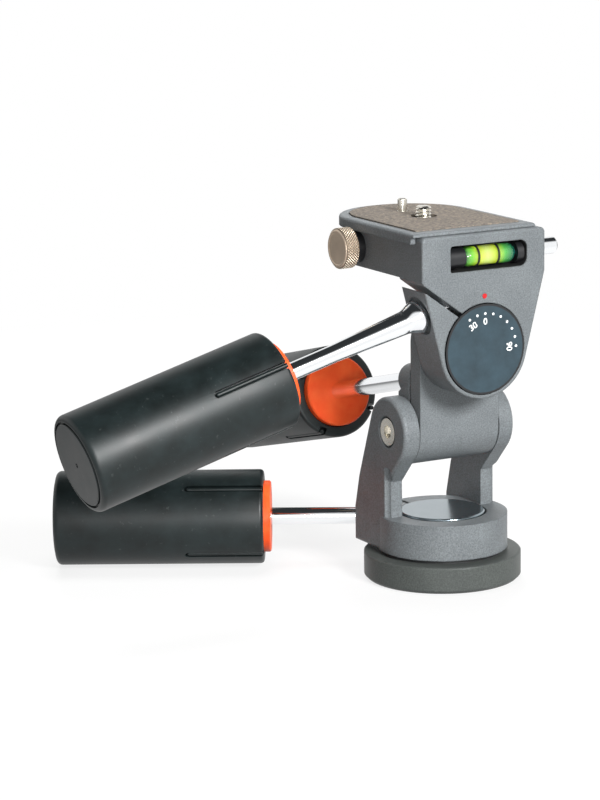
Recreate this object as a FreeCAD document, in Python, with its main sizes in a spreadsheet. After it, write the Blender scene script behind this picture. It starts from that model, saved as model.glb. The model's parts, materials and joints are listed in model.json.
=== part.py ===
# Three way pan and tilt head for a tripod, in millimetres.
# The origin is the middle of the mounting face that meets the tripod, and +Z points up.
# The dial faces -Y, and the tilt axis lies along X.
import FreeCAD, Part
import math
import os
import Sketcher
from FreeCAD import Placement, Rotation, Vector

DRIVING_SIZES = {
    # base and pan bearing
    "base_radius": 31.7,
    "base_height": 10.7,
    "base_round": 1.2,
    "bush_radius": 7.0,
    "bush_height": 9.2,
    "tripod_thread_radius": 3.97,
    "tripod_thread_depth": 8.6,
    "drum_radius": 13.5,
    "cap_radius": 17.2,
    "cap_thickness": 3.2,
    "cap_top": 27.0,
    "washer_radius": 24.5,
    "washer_thickness": 1.3,
    "spindle_screw_circle": 10.3,
    # pan yoke
    "ring_radius": 26.3,
    "ring_bottom": 12.1,
    "ring_top": 26.3,
    "ear_inside": 18.5,
    "ear_outside": 25.5,
    "ear_front": 0.3,
    "ear_back": 27.0,
    "ear_waist": 23.4,
    "ear_waist_height": 40.0,
    "ear_front_height": 41.0,
    "ear_edge": 1.5,
    "head_radius": 14.0,
    "ear_recess_radius": 6.4,
    "ear_recess_depth": 2.5,
    # tilt body
    "tilt_height": 61.8,
    "tilt_half_width": 18.2,
    "tilt_barrel_radius": 13.8,
    "axle_radius": 6.0,
    "axle_reach": 20.4,
    "bush_wall": 1.35,
    "bush_length": 11.0,
    "neck_thickness": 7.2,
    "jaw_back": 3.0,
    "jaw_slit": 1.4,
    "jaw_top": 88.0,
    "boss_radius": 6.75,
    # roll bearing and dial
    "roll_height": 98.0,
    "roll_drum_radius": 13.0,
    "roll_flange_radius": 17.1,
    "bezel_radius": 17.9,
    "bezel_thickness": 2.2,
    "dial_thickness": 0.75,
    "dial_stand": 0.5,
    "roll_screw_circle": 8.5,
    # platform casting
    "shield_front": 32.5,
    "shield_back": 15.2,
    "shield_round": 19.8,
    "platform_half_width": 28.0,
    "platform_back": 44.9,
    "platform_bottom": 126.5,
    "platform_top": 143.7,
    "platform_wall": 3.0,
    "platform_corner": 24.4,
    "platform_edge": 2.0,
    "shield_edge": 0.9,
    "channel_half_width": 20.0,
    "channel_floor": 138.0,
    "channel_front": 22.0,
    "slit_width": 2.0,
    "slit_reach": 26.5,
    "slit_height": 123.6,
    "slit_drop_angle": 36.0,
    "index_height": 119.0,
    "index_radius": 1.0,
    # spirit level
    "window_left": 15.4,
    "window_right": 19.6,
    "window_height": 134.4,
    "window_half_height": 5.2,
    "window_right_round": 3.2,
    "window_left_round": 1.0,
    "window_back": 24.0,
    "vial_depth": 28.15,
    "vial_radius": 3.9,
    "vial_wall": 0.6,
    "vial_left": 8.0,
    "vial_right": 15.6,
    "mark_left": 2.1,
    "mark_right": 7.0,
    # quick plate
    "plate_left": 30.6,
    "plate_right": 25.0,
    "plate_front": 30.0,
    "plate_back": 47.5,
    "plate_bottom": 143.85,
    "plate_top": 145.3,
    "skirt_bottom": 141.2,
    "skirt_thickness": 2.2,
    "skirt_end": 0.0,
    "tongue_back": 36.6,
    "tongue_clearance": 0.25,
    "plate_corner": 27.0,
    "plate_edge": 1.2,
    "pad_inset": 4.0,
    "pad_sink": 0.6,
    "pad_stand": 0.5,
    "camera_thread_radius": 3.175,
    "camera_thread_stand": 4.6,
    "camera_screw_x": -3.6,
    "camera_screw_y": 7.2,
    "camera_recess_radius": 5.5,
    "pin_radius": 1.9,
    "pin_y": 23.6,
    "pin_stand": 5.6,
    # lock knob on the left and release button on the right
    "knob_radius": 8.3,
    "knob_thickness": 6.4,
    "knob_start": 31.4,
    "knob_y": 17.0,
    "knob_height": 134.3,
    "knob_collar_radius": 6.3,
    "knob_shaft_radius": 3.0,
    "button_y": -20.5,
    "button_height": 134.0,
    "button_radius": 3.4,
    "button_reach": 40.0,
    "button_collar_radius": 5.4,
    "button_stem_radius": 2.0,
    # handles
    "rod_radius": 3.5,
    "bolt_radius": 3.0,
    "bolt_gap": 0.05,
    "grip_radius": 19.3,
    "grip_length": 85.5,
    "grip_wall": 4.3,
    "grip_round": 2.4,
    "groove_length": 32.0,
    "groove_width": 3.8,
    "groove_depth": 3.0,
    "plug_radius": 14.65,
    "plug_stand": 2.8,
    "plug_flange": 8.0,
    "plug_hub_radius": 7.0,
    "plug_depth": 50.0,
    "clamp_nut_radius": 4.2,
    "clamp_nut_length": 6.0,
    "pan_handle_height": 20.0,
    "pan_handle_offset": 18.5,
    "pan_handle_turn": 30.0,
    "pan_handle_mouth": 72.5,
    "roll_handle_mouth": 67.7,
    "tilt_handle_mouth": 66.0,
}

UP = Vector(0, 0, 1)
RIGHT = Vector(1, 0, 0)
REARWARD = Vector(0, 1, 0)
TOOL_OVERRUN = 1.0
SIDES = (-1, 1)

doc = FreeCAD.newDocument("three_way_head")
pieces = {}


class Size:
    """A number together with the sheet formula that gives it."""

    def __init__(self, value, text):
        self.value = float(value)
        self.text = text

    def _with(self, other, sign, value):
        return Size(value, f"({self.text} {sign} {other.text})")

    def __add__(self, other):
        other = sized(other)
        return self._with(other, "+", self.value + other.value)

    def __sub__(self, other):
        other = sized(other)
        return self._with(other, "-", self.value - other.value)

    def __mul__(self, other):
        other = sized(other)
        return self._with(other, "*", self.value * other.value)

    def __radd__(self, other):
        return sized(other) + self

    def __rsub__(self, other):
        return sized(other) - self

    def __rmul__(self, other):
        return sized(other) * self

    def __neg__(self):
        return Size(-self.value, f"(0 - {self.text})")


def sized(number):
    return number if isinstance(number, Size) else Size(number, repr(float(number)))


def make_sheet():
    """Writes the driving sizes into the sheet and returns them by name."""
    sheet = doc.addObject("Spreadsheet::Sheet", "dim")
    for row, (name, number) in enumerate(DRIVING_SIZES.items(), start=1):
        sheet.set(f"A{row}", name)
        sheet.set(f"B{row}", str(number))
        sheet.setAlias(f"B{row}", name)
    doc.recompute()
    return {name: Size(sheet.get(name), f"dim.{name}") for name in DRIVING_SIZES}


d = make_sheet()
v = {name: size.value for name, size in d.items()}


# Helpers that make bound shapes

def bind(item, prop, size):
    item.setExpression(prop, sized(size).text)


def put(item, corner, turn=Rotation()):
    """Places a shape, with each coordinate tied to its own formula."""
    corner = [sized(number) for number in corner]
    item.Placement = Placement(Vector(*[number.value for number in corner]), turn)
    for letter, number in zip("xyz", corner):
        bind(item, f"Placement.Base.{letter}", number)


def box(name, low, high):
    solid = doc.addObject("Part::Box", name)
    for prop, start, end in zip(("Length", "Width", "Height"), low, high):
        bind(solid, prop, sized(end) - start)
    put(solid, low)
    return solid


def cylinder(name, radius, length, start, direction=UP):
    solid = doc.addObject("Part::Cylinder", name)
    bind(solid, "Radius", radius)
    bind(solid, "Height", length)
    put(solid, start, Rotation(UP, direction))
    return solid


def ring(name, outer, inner, length, start, direction=UP):
    return cut(name, cylinder(name + "_outside", outer, length, start, direction),
               cylinder(name + "_bore", inner, length, start, direction))


def hex_socket(name, across_flats, depth, start, direction):
    tool = doc.addObject("Part::Prism", name)
    tool.Polygon = 6
    bind(tool, "Circumradius", across_flats / math.sqrt(3))
    bind(tool, "Height", depth)
    put(tool, start, Rotation(UP, direction))
    return tool


def fuse(name, *items):
    joined = doc.addObject("Part::MultiFuse", name)
    joined.Shapes = list(items)
    joined.Refine = True
    return joined


def cut(name, base, *tools):
    removed = tools[0] if len(tools) == 1 else fuse(name + "_tools", *tools)
    solid = doc.addObject("Part::Cut", name)
    solid.Base = base
    solid.Tool = removed
    solid.Refine = True
    return solid


def group(name, items):
    """Identical fasteners or liners that share one name and stay separate solids."""
    compound = doc.addObject("Part::Compound", name)
    compound.Links = items
    return compound


def hold(sketch, line, end, across, along):
    """Fixes one end of a line at a bound place in its sketch."""
    for kind, axis, size in (("DistanceX", -2, across), ("DistanceY", -1, along)):
        size = sized(size)
        if size.value == 0:
            sketch.addConstraint(Sketcher.Constraint("PointOnObject", line, end, axis))
        else:
            index = sketch.addConstraint(
                Sketcher.Constraint(kind, -1, 1, line, end, size.value))
            sketch.setExpression(f"Constraints[{index}]", size.text)


def draw(sketch, corners):
    """Draws a closed outline of straight lines through bound corners."""
    points = [Vector(sized(a).value, sized(b).value, 0) for a, b in corners]
    count = len(points)
    for index, start in enumerate(points):
        sketch.addGeometry(Part.LineSegment(start, points[(index + 1) % count]), False)
    for index, (across, along) in enumerate(corners):
        after = (index + 1) % count
        sketch.addConstraint(Sketcher.Constraint("Coincident", index, 2, after, 1))
        hold(sketch, index, 1, across, along)


SIDE_VIEW = Rotation(Vector(0, 1, 0), Vector(0, 0, 1), Vector(1, 0, 0), "XYZ")
FRONT_VIEW = Rotation(Vector(1, 0, 0), Vector(0, 0, 1), Vector(0, -1, 0), "XYZ")


def slab(name, corners, thickness, start, view):
    """A flat outline given a thickness along the normal of its view."""
    sketch = doc.addObject("Sketcher::SketchObject", name + "_outline")
    put(sketch, start, view)
    draw(sketch, corners)
    solid = doc.addObject("Part::Extrusion", name)
    solid.Base = sketch
    solid.DirMode = "Normal"
    solid.Solid = True
    bind(solid, "LengthFwd", thickness)
    return solid


def rounded(name, base, radius, wanted):
    """Rounds the edges for which wanted(edge) is true."""
    doc.recompute()
    edges = [(number, radius.value, radius.value)
             for number, edge in enumerate(base.Shape.Edges, start=1) if wanted(edge)]
    solid = doc.addObject("Part::Fillet", name)
    solid.Base = base
    solid.Edges = edges
    return solid


def origin_part(body, role):
    return next(item for item in body.Origin.OriginFeatures if item.Role == role)


def turned(name, profile):
    """A body of revolution about its own Z, from (radius, height) corners."""
    body = doc.addObject("PartDesign::Body", name)
    sketch = body.newObject("Sketcher::SketchObject", name + "_profile")
    sketch.AttachmentSupport = [(origin_part(body, "XZ_Plane"), "")]
    sketch.MapMode = "FlatFace"
    draw(sketch, profile)
    solid = body.newObject("PartDesign::Revolution", name + "_turning")
    solid.Profile = sketch
    solid.ReferenceAxis = (sketch, ["V_Axis"])
    solid.Angle = 360
    return body


def keep(node, item):
    item.Label = node
    pieces[node] = item
    return item


def tangent_point(outside, centre, radius, side):
    """Where a line from an outside point touches a circle; side is 1 or -1."""
    across = outside[0] - centre[0]
    along = outside[1] - centre[1]
    spread = math.acos(radius / math.hypot(across, along))
    angle = math.atan2(along, across) + side * spread
    return centre[0] + radius * math.cos(angle), centre[1] + radius * math.sin(angle)


def circle_places(radius, count, first_angle):
    for step in range(count):
        angle = math.radians(first_angle + step * 360 / count)
        yield radius * math.cos(angle), radius * math.sin(angle)


# Places and directions of the three handles

def pan_handle_line():
    turn = math.radians(v["pan_handle_turn"])
    direction = Vector(-math.cos(turn), math.sin(turn), 0)
    foot = Vector(math.sin(turn), math.cos(turn), 0) * v["pan_handle_offset"]
    return foot + UP * v["pan_handle_height"], direction


PAN_ROOT, PAN_WAY = pan_handle_line()
ROLL_ROOT = Vector(-22.6, -24.0, 112.7)
ROLL_WAY = Vector(-0.961, 0.02, -0.276).normalize()
TILT_ROOT = Vector(-11.4, 3.0, 81.0)
TILT_WAY = Vector(0.008, 0.970, -0.242).normalize()


def along(root, way, distance):
    return root + way * distance


# Base, fixed to the tripod

SCREW_HEAD_RADIUS = 2.75
SCREW_HEAD_HEIGHT = 2.8
SCREW_SINK = 0.4
SCREW_POCKET = 3.2
SCREW_SHANK_RADIUS = 1.5
SCREW_END = 17.5
CAP_CHAMFER = 0.5


def make_base():
    disc = turned("base_turning", [
        (0, d["bush_height"]), (d["bush_radius"], d["bush_height"]),
        (d["bush_radius"], 0), (d["base_radius"] - d["base_round"], 0),
        (d["base_radius"], d["base_round"]),
        (d["base_radius"], d["base_height"] - CAP_CHAMFER),
        (d["base_radius"] - CAP_CHAMFER, d["base_height"]), (0, d["base_height"]),
    ])
    spindle = turned("spindle_turning", [
        (0, d["base_height"]), (d["drum_radius"], d["base_height"]),
        (d["drum_radius"], d["cap_top"] - d["cap_thickness"]),
        (d["cap_radius"], d["cap_top"] - d["cap_thickness"]),
        (d["cap_radius"], d["cap_top"] - CAP_CHAMFER),
        (d["cap_radius"] - CAP_CHAMFER, d["cap_top"]), (0, d["cap_top"]),
    ])
    pockets, holes, screws = [], [], []
    for number, (x, y) in enumerate(circle_places(v["spindle_screw_circle"], 3, 90)):
        pockets.append(cylinder(f"screw_pocket_{number}", SCREW_HEAD_RADIUS + 0.25,
                                SCREW_POCKET, (x, y, 0)))
        pockets.append(cylinder(f"screw_way_{number}", SCREW_SHANK_RADIUS + 0.1,
                                d["base_height"], (x, y, 0)))
        holes.append(cylinder(f"screw_thread_{number}", SCREW_SHANK_RADIUS,
                              SCREW_END, (x, y, 0)))
        head = cylinder(f"screw_head_{number}", SCREW_HEAD_RADIUS, SCREW_HEAD_HEIGHT,
                        (x, y, SCREW_SINK))
        shank = cylinder(f"screw_shank_{number}", SCREW_SHANK_RADIUS,
                         SCREW_END - SCREW_SINK, (x, y, SCREW_SINK))
        socket = hex_socket(f"screw_socket_{number}", 2.5, 1.6, (x, y, SCREW_SINK), UP)
        screws.append(cut(f"spindle_screw_{number}",
                          fuse(f"screw_blank_{number}", head, shank), socket))
    keep("base_disc", cut("base_disc", disc, *pockets))
    keep("pan_spindle", cut("pan_spindle", spindle, *holes))
    keep("spindle_screws", group("spindle_screws", screws))
    keep("tripod_bush", turned("tripod_bush", [
        (d["tripod_thread_radius"], 0), (d["bush_radius"], 0),
        (d["bush_radius"], d["bush_height"]), (0, d["bush_height"]),
        (0, d["tripod_thread_depth"]),
        (d["tripod_thread_radius"], d["tripod_thread_depth"]),
    ]))
    keep("pan_washer", ring("pan_washer", d["washer_radius"], d["drum_radius"] + 0.6,
                            d["washer_thickness"], (0, 0, d["base_height"])))


# Pan yoke with the two ears that carry the tilt axle

def make_ear(side):
    """One ear, its outside edges rounded; side is -1 on the left and 1 on the right."""
    centre = (0, v["tilt_height"])
    front = tangent_point((v["ear_front"], v["ear_front_height"]), centre,
                          v["head_radius"], -1)
    back = tangent_point((v["ear_waist"], v["ear_waist_height"]), centre,
                         v["head_radius"], 1)
    thickness = d["ear_outside"] - d["ear_inside"]
    start = d["ear_inside"] if side > 0 else -d["ear_outside"]
    web = slab(f"ear_web_{side}", [
        (d["ear_front"], d["ring_bottom"]), (d["ear_back"], d["ring_bottom"]),
        (d["ear_back"], d["ring_top"]), (d["ear_waist"], d["ear_waist_height"]),
        back, (0, d["tilt_height"]), front, (d["ear_front"], d["ear_front_height"]),
    ], thickness, (start, 0, 0), SIDE_VIEW)
    head = cylinder(f"ear_head_{side}", d["head_radius"], thickness,
                    (start, 0, d["tilt_height"]), RIGHT)
    blank = fuse(f"ear_blank_{side}", web, head)

    def on_outside(edge):
        limits = edge.BoundBox
        face = side * v["ear_outside"]
        return abs(limits.XMin - face) < 0.01 and abs(limits.XMax - face) < 0.01

    return rounded(f"ear_{side}", blank, d["ear_edge"], on_outside)


FLUTE_RADIUS = 2.4
RING_SLIT_LEFT = -6.0
RING_SLIT_RIGHT = -4.4
PAN_BOSS_RADIUS = 5.9
PAN_BOSS_END = 21.5
BORE_GAP = 0.1


def make_yoke():
    body = cylinder("ring_blank", d["ring_radius"], d["ring_top"] - d["ring_bottom"],
                    (0, 0, d["ring_bottom"]))
    ears = [make_ear(side) for side in SIDES]
    boss = cylinder("pan_boss", PAN_BOSS_RADIUS, PAN_BOSS_END, PAN_ROOT, PAN_WAY)
    flutes = [cylinder(f"flute_{side}", FLUTE_RADIUS,
                       d["ear_front_height"] - d["ring_top"] + 6.0,
                       (side * (d["ear_outside"] + 0.4), d["ear_front"] - 0.4,
                        d["ring_top"])) for side in SIDES]
    bore = cylinder("yoke_bore", d["drum_radius"] + d["bolt_gap"], d["ring_top"],
                    (0, 0, d["ring_bottom"] - TOOL_OVERRUN))
    counterbore = cylinder("yoke_counterbore", d["cap_radius"] + 0.7,
                           d["cap_thickness"] + 5.0,
                           (0, 0, d["cap_top"] - d["cap_thickness"] - BORE_GAP))
    slit = box("ring_slit", (RING_SLIT_LEFT, d["drum_radius"] - 4.0, d["ring_bottom"] - TOOL_OVERRUN),
               (RING_SLIT_RIGHT, d["ring_radius"] + 6.0, d["ring_top"] + TOOL_OVERRUN))
    bolt_way = cylinder("pan_bolt_way", d["bolt_radius"] + BORE_GAP, PAN_BOSS_END + 12.0,
                        along(PAN_ROOT, PAN_WAY, -8.0), PAN_WAY)
    nut_seat = cylinder("pan_nut_seat", d["clamp_nut_radius"], d["clamp_nut_length"],
                        along(PAN_ROOT, PAN_WAY, PAN_NUT_AT), PAN_WAY)
    recesses, seats, ways = [], [], []
    for side in SIDES:
        out = RIGHT * side
        floor = d["ear_outside"] - d["ear_recess_depth"]
        recesses.append(cylinder(f"ear_recess_{side}", d["ear_recess_radius"],
                                 d["ear_recess_depth"] + TOOL_OVERRUN,
                                 (side * floor, 0, d["tilt_height"]), out))
        seats.append(cylinder(f"axle_seat_{side}", d["axle_radius"], d["axle_reach"],
                              (0, 0, d["tilt_height"]), out))
        ways.append(cylinder(f"ear_way_{side}", EAR_SHANK_RADIUS + BORE_GAP,
                             d["ear_outside"], (0, 0, d["tilt_height"]), out))
    keep("pan_yoke", cut("pan_yoke", fuse("yoke_blank", body, boss, *ears), bore,
                         counterbore, slit, bolt_way, nut_seat, *flutes, *recesses,
                         *seats, *ways))


EAR_SHANK_RADIUS = 3.0
EAR_SHANK_DEPTH = 8.0
EAR_HEAD_RADIUS = 5.5
EAR_HEAD_HEIGHT = 2.2
PAN_NUT_AT = 3.0


def make_tilt_axle():
    blank = cylinder("axle_blank", d["axle_radius"], 2 * d["axle_reach"],
                     (-d["axle_reach"], 0, d["tilt_height"]), RIGHT)
    threads, screws = [], []
    for side in SIDES:
        out = RIGHT * side
        seat = d["ear_outside"] - d["ear_recess_depth"]
        inner_end = d["axle_reach"] - EAR_SHANK_DEPTH
        threads.append(cylinder(f"axle_thread_{side}", EAR_SHANK_RADIUS, EAR_SHANK_DEPTH,
                                (side * inner_end, 0, d["tilt_height"]), out))
        shank = cylinder(f"ear_shank_{side}", EAR_SHANK_RADIUS, seat - inner_end,
                         (side * inner_end, 0, d["tilt_height"]), out)
        head = cylinder(f"ear_head_disc_{side}", EAR_HEAD_RADIUS, EAR_HEAD_HEIGHT,
                        (side * seat, 0, d["tilt_height"]), out)
        socket = hex_socket(f"ear_socket_{side}", 5.0, 3.0,
                            (side * (seat + 0.6), 0, d["tilt_height"]), out)
        screws.append(cut(f"ear_screw_{side}", fuse(f"ear_screw_blank_{side}", shank, head),
                          socket))
    keep("tilt_axle", cut("tilt_axle", blank, *threads))
    keep("ear_screws", group("ear_screws", screws))


# Tilt body, which turns between the ears and carries the roll bearing

ROLL_SHANK_RADIUS = 2.0
ROLL_SHANK_DEPTH = 9.0
ROLL_HEAD_RADIUS = 3.3
ROLL_HEAD_HEIGHT = 2.3
TILT_NUT_AT = -14.4
TILT_BOLT_DEPTH = 16.0
TILT_BOSS_LENGTH = 9.0
JAW_RIGHT = -3.0
REAR_RIB_TOP = 84.0
REAR_RIB_FOOT = 77.0


def make_tilt_body():
    width = 2 * d["tilt_half_width"]
    left = -d["tilt_half_width"]
    front = -d["tilt_barrel_radius"]
    neck_back = front + d["neck_thickness"]
    barrel = cylinder("barrel", d["tilt_barrel_radius"], width,
                      (left, 0, d["tilt_height"]), RIGHT)
    neck = box("neck", (left, front, d["tilt_height"]),
               (d["tilt_half_width"], neck_back, d["roll_height"]))
    crown = cylinder("crown", d["tilt_half_width"], d["neck_thickness"],
                     (0, front, d["roll_height"]), REARWARD)
    rib = slab("rear_rib", [
        (front, d["tilt_height"]), (d["jaw_back"], d["tilt_height"]),
        (d["jaw_back"], REAR_RIB_FOOT), (neck_back, REAR_RIB_TOP),
        (front, REAR_RIB_TOP),
    ], width, (left, 0, 0), SIDE_VIEW)
    boss_start = along(TILT_ROOT, TILT_WAY, -TILT_BOSS_LENGTH)
    boss = cylinder("tilt_boss", d["boss_radius"], TILT_BOSS_LENGTH, boss_start, TILT_WAY)
    bore = cylinder("barrel_bore", d["axle_radius"] + d["bush_wall"], width + 2 * TOOL_OVERRUN,
                    (left - TOOL_OVERRUN, 0, d["tilt_height"]), RIGHT)
    slit = box("jaw_slit", (left - 4.0, neck_back, d["tilt_height"]),
               (JAW_RIGHT, neck_back + d["jaw_slit"], d["jaw_top"] + 4.0))
    bolt_way = cylinder("tilt_bolt_way", d["bolt_radius"] + BORE_GAP, TILT_BOLT_DEPTH + 2.0,
                        along(TILT_ROOT, TILT_WAY, -TILT_BOLT_DEPTH - 0.5), TILT_WAY)
    nut_seat = cylinder("tilt_nut_seat", d["clamp_nut_radius"], d["clamp_nut_length"] - 2.0,
                        along(TILT_ROOT, TILT_WAY, TILT_NUT_AT), TILT_WAY)
    ways, threads, screws = [], [], []
    for number, (x, z) in enumerate(circle_places(v["roll_screw_circle"], 3, 90)):
        z = d["roll_height"] + z
        ways.append(cylinder(f"roll_way_{number}", ROLL_SHANK_RADIUS + 0.2,
                             d["neck_thickness"] + 2 * TOOL_OVERRUN,
                             (x, front - TOOL_OVERRUN, z), REARWARD))
        thread_start = front - ROLL_SHANK_DEPTH
        threads.append(cylinder(f"roll_thread_{number}", ROLL_SHANK_RADIUS,
                                ROLL_SHANK_DEPTH, (x, thread_start, z), REARWARD))
        shank = cylinder(f"roll_shank_{number}", ROLL_SHANK_RADIUS,
                         ROLL_SHANK_DEPTH + d["neck_thickness"], (x, thread_start, z), REARWARD)
        head = cylinder(f"roll_head_{number}", ROLL_HEAD_RADIUS, ROLL_HEAD_HEIGHT,
                        (x, neck_back, z), REARWARD)
        socket = hex_socket(f"roll_socket_{number}", 3.0, 2.0,
                            (x, neck_back + 0.8, z), REARWARD)
        screws.append(cut(f"roll_screw_{number}",
                          fuse(f"roll_screw_blank_{number}", shank, head), socket))
    keep("tilt_body", cut("tilt_body", fuse("tilt_blank", barrel, neck, crown, rib, boss),
                          bore, slit, bolt_way, nut_seat, *ways))
    keep("roll_screws", group("roll_screws", screws))
    return threads


def make_tilt_bushes():
    liners = []
    for side in SIDES:
        start = side * d["tilt_half_width"]
        liners.append(ring(f"tilt_bush_{side}", d["axle_radius"] + d["bush_wall"],
                           d["axle_radius"] + d["bolt_gap"], d["bush_length"],
                           (start, 0, d["tilt_height"]), RIGHT * -side))
    keep("tilt_bushes", group("tilt_bushes", liners))


def make_roll_bearing(threads):
    """The drum that the platform turns on, with the dial on its front end."""
    dial_face = d["shield_front"] + d["dial_stand"]
    flange_front = dial_face - d["dial_thickness"]
    bezel_back = dial_face - d["bezel_thickness"]
    shaft = turned("roll_shaft_turning", [
        (0, d["tilt_barrel_radius"]), (d["roll_drum_radius"], d["tilt_barrel_radius"]),
        (d["roll_drum_radius"], bezel_back), (d["roll_flange_radius"], bezel_back),
        (d["roll_flange_radius"], flange_front), (0, flange_front),
    ])
    put(shaft, (0, 0, d["roll_height"]), Rotation(UP, -REARWARD))
    keep("roll_shaft", cut("roll_shaft", shaft, *threads))
    centre = (0, -bezel_back, d["roll_height"])
    keep("dial_bezel", ring("dial_bezel", d["bezel_radius"], d["roll_flange_radius"],
                            d["bezel_thickness"], centre, -REARWARD))
    keep("dial_disc", cylinder("dial_disc", d["roll_flange_radius"], d["dial_thickness"],
                               (0, -flange_front, d["roll_height"]), -REARWARD))


# Platform casting with the split roll clamp

SPOT_RADIUS = 7.8
ROLL_NUT_AT = -17.8
ROLL_BOLT_DEPTH = 19.3
SHAFT_GAP = 0.05
CAM_WINDOW = (-18.4, -12.6)
CAM_WINDOW_REACH = 5.0
BUTTON_SPRING_END = 20.4
BUTTON_STEM_END = 12.5


def clamp_slit():
    """The slanted cut that lets the lower lug close on the roll drum."""
    angle = math.radians(v["slit_drop_angle"])
    inward = Vector(math.cos(angle), 0, -math.sin(angle))
    start = Vector(-v["slit_reach"], -v["shield_front"] - TOOL_OVERRUN, v["slit_height"])
    start = start - inward * 6.0
    start = start - Vector(math.sin(angle), 0, math.cos(angle)) * (v["slit_width"] / 2)
    tool = doc.addObject("Part::Box", "clamp_slit")
    bind(tool, "Length", 32.0)
    bind(tool, "Width", d["shield_front"] - d["shield_back"] + 2 * TOOL_OVERRUN)
    bind(tool, "Height", d["slit_width"])
    tool.Placement = Placement(start, Rotation(REARWARD, v["slit_drop_angle"]))
    return tool


def level_window():
    """The slot for the level: nearly square at its left end and rounded at its right end."""
    low, high = [d["window_height"] + side * d["window_half_height"] for side in SIDES]
    slot = box("window_slot", (-d["window_left"], -d["shield_front"] - TOOL_OVERRUN, low),
               (d["window_right"], -d["window_back"], high))

    def corner_at(place):
        def wanted(edge):
            limits = edge.BoundBox
            return (limits.YLength > 1 and limits.XLength < 0.01 and limits.ZLength < 0.01
                    and abs(limits.XMin - place) < 0.01)
        return wanted

    right = rounded("window_right_end", slot, d["window_right_round"],
                    corner_at(v["window_right"]))
    return rounded("level_window", right, d["window_left_round"], corner_at(-v["window_left"]))


def rear_corner_at(back):
    """Tells whether an edge is an upright corner of a rear face."""
    def wanted(edge):
        limits = edge.BoundBox
        return (limits.ZLength > 1 and limits.XLength < 0.01 and limits.YLength < 0.01
                and abs(limits.YMin - back) < 0.01)
    return wanted


def shield_block():
    centre = (0, v["roll_height"])
    shoulder = (v["platform_half_width"], v["platform_bottom"])
    touch = tangent_point(shoulder, centre, v["shield_round"], -1)
    outline = slab("shield_outline_block", [
        (-d["platform_half_width"], d["platform_top"]),
        (-d["platform_half_width"], d["platform_bottom"]),
        (-touch[0], touch[1]), touch,
        (d["platform_half_width"], d["platform_bottom"]),
        (d["platform_half_width"], d["platform_top"]),
    ], d["shield_front"] - d["shield_back"], (0, -d["shield_back"], 0), FRONT_VIEW)
    hub = cylinder("shield_hub", d["shield_round"], d["shield_front"] - d["shield_back"],
                   (0, -d["shield_back"], d["roll_height"]), -REARWARD)
    return outline, hub


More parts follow.
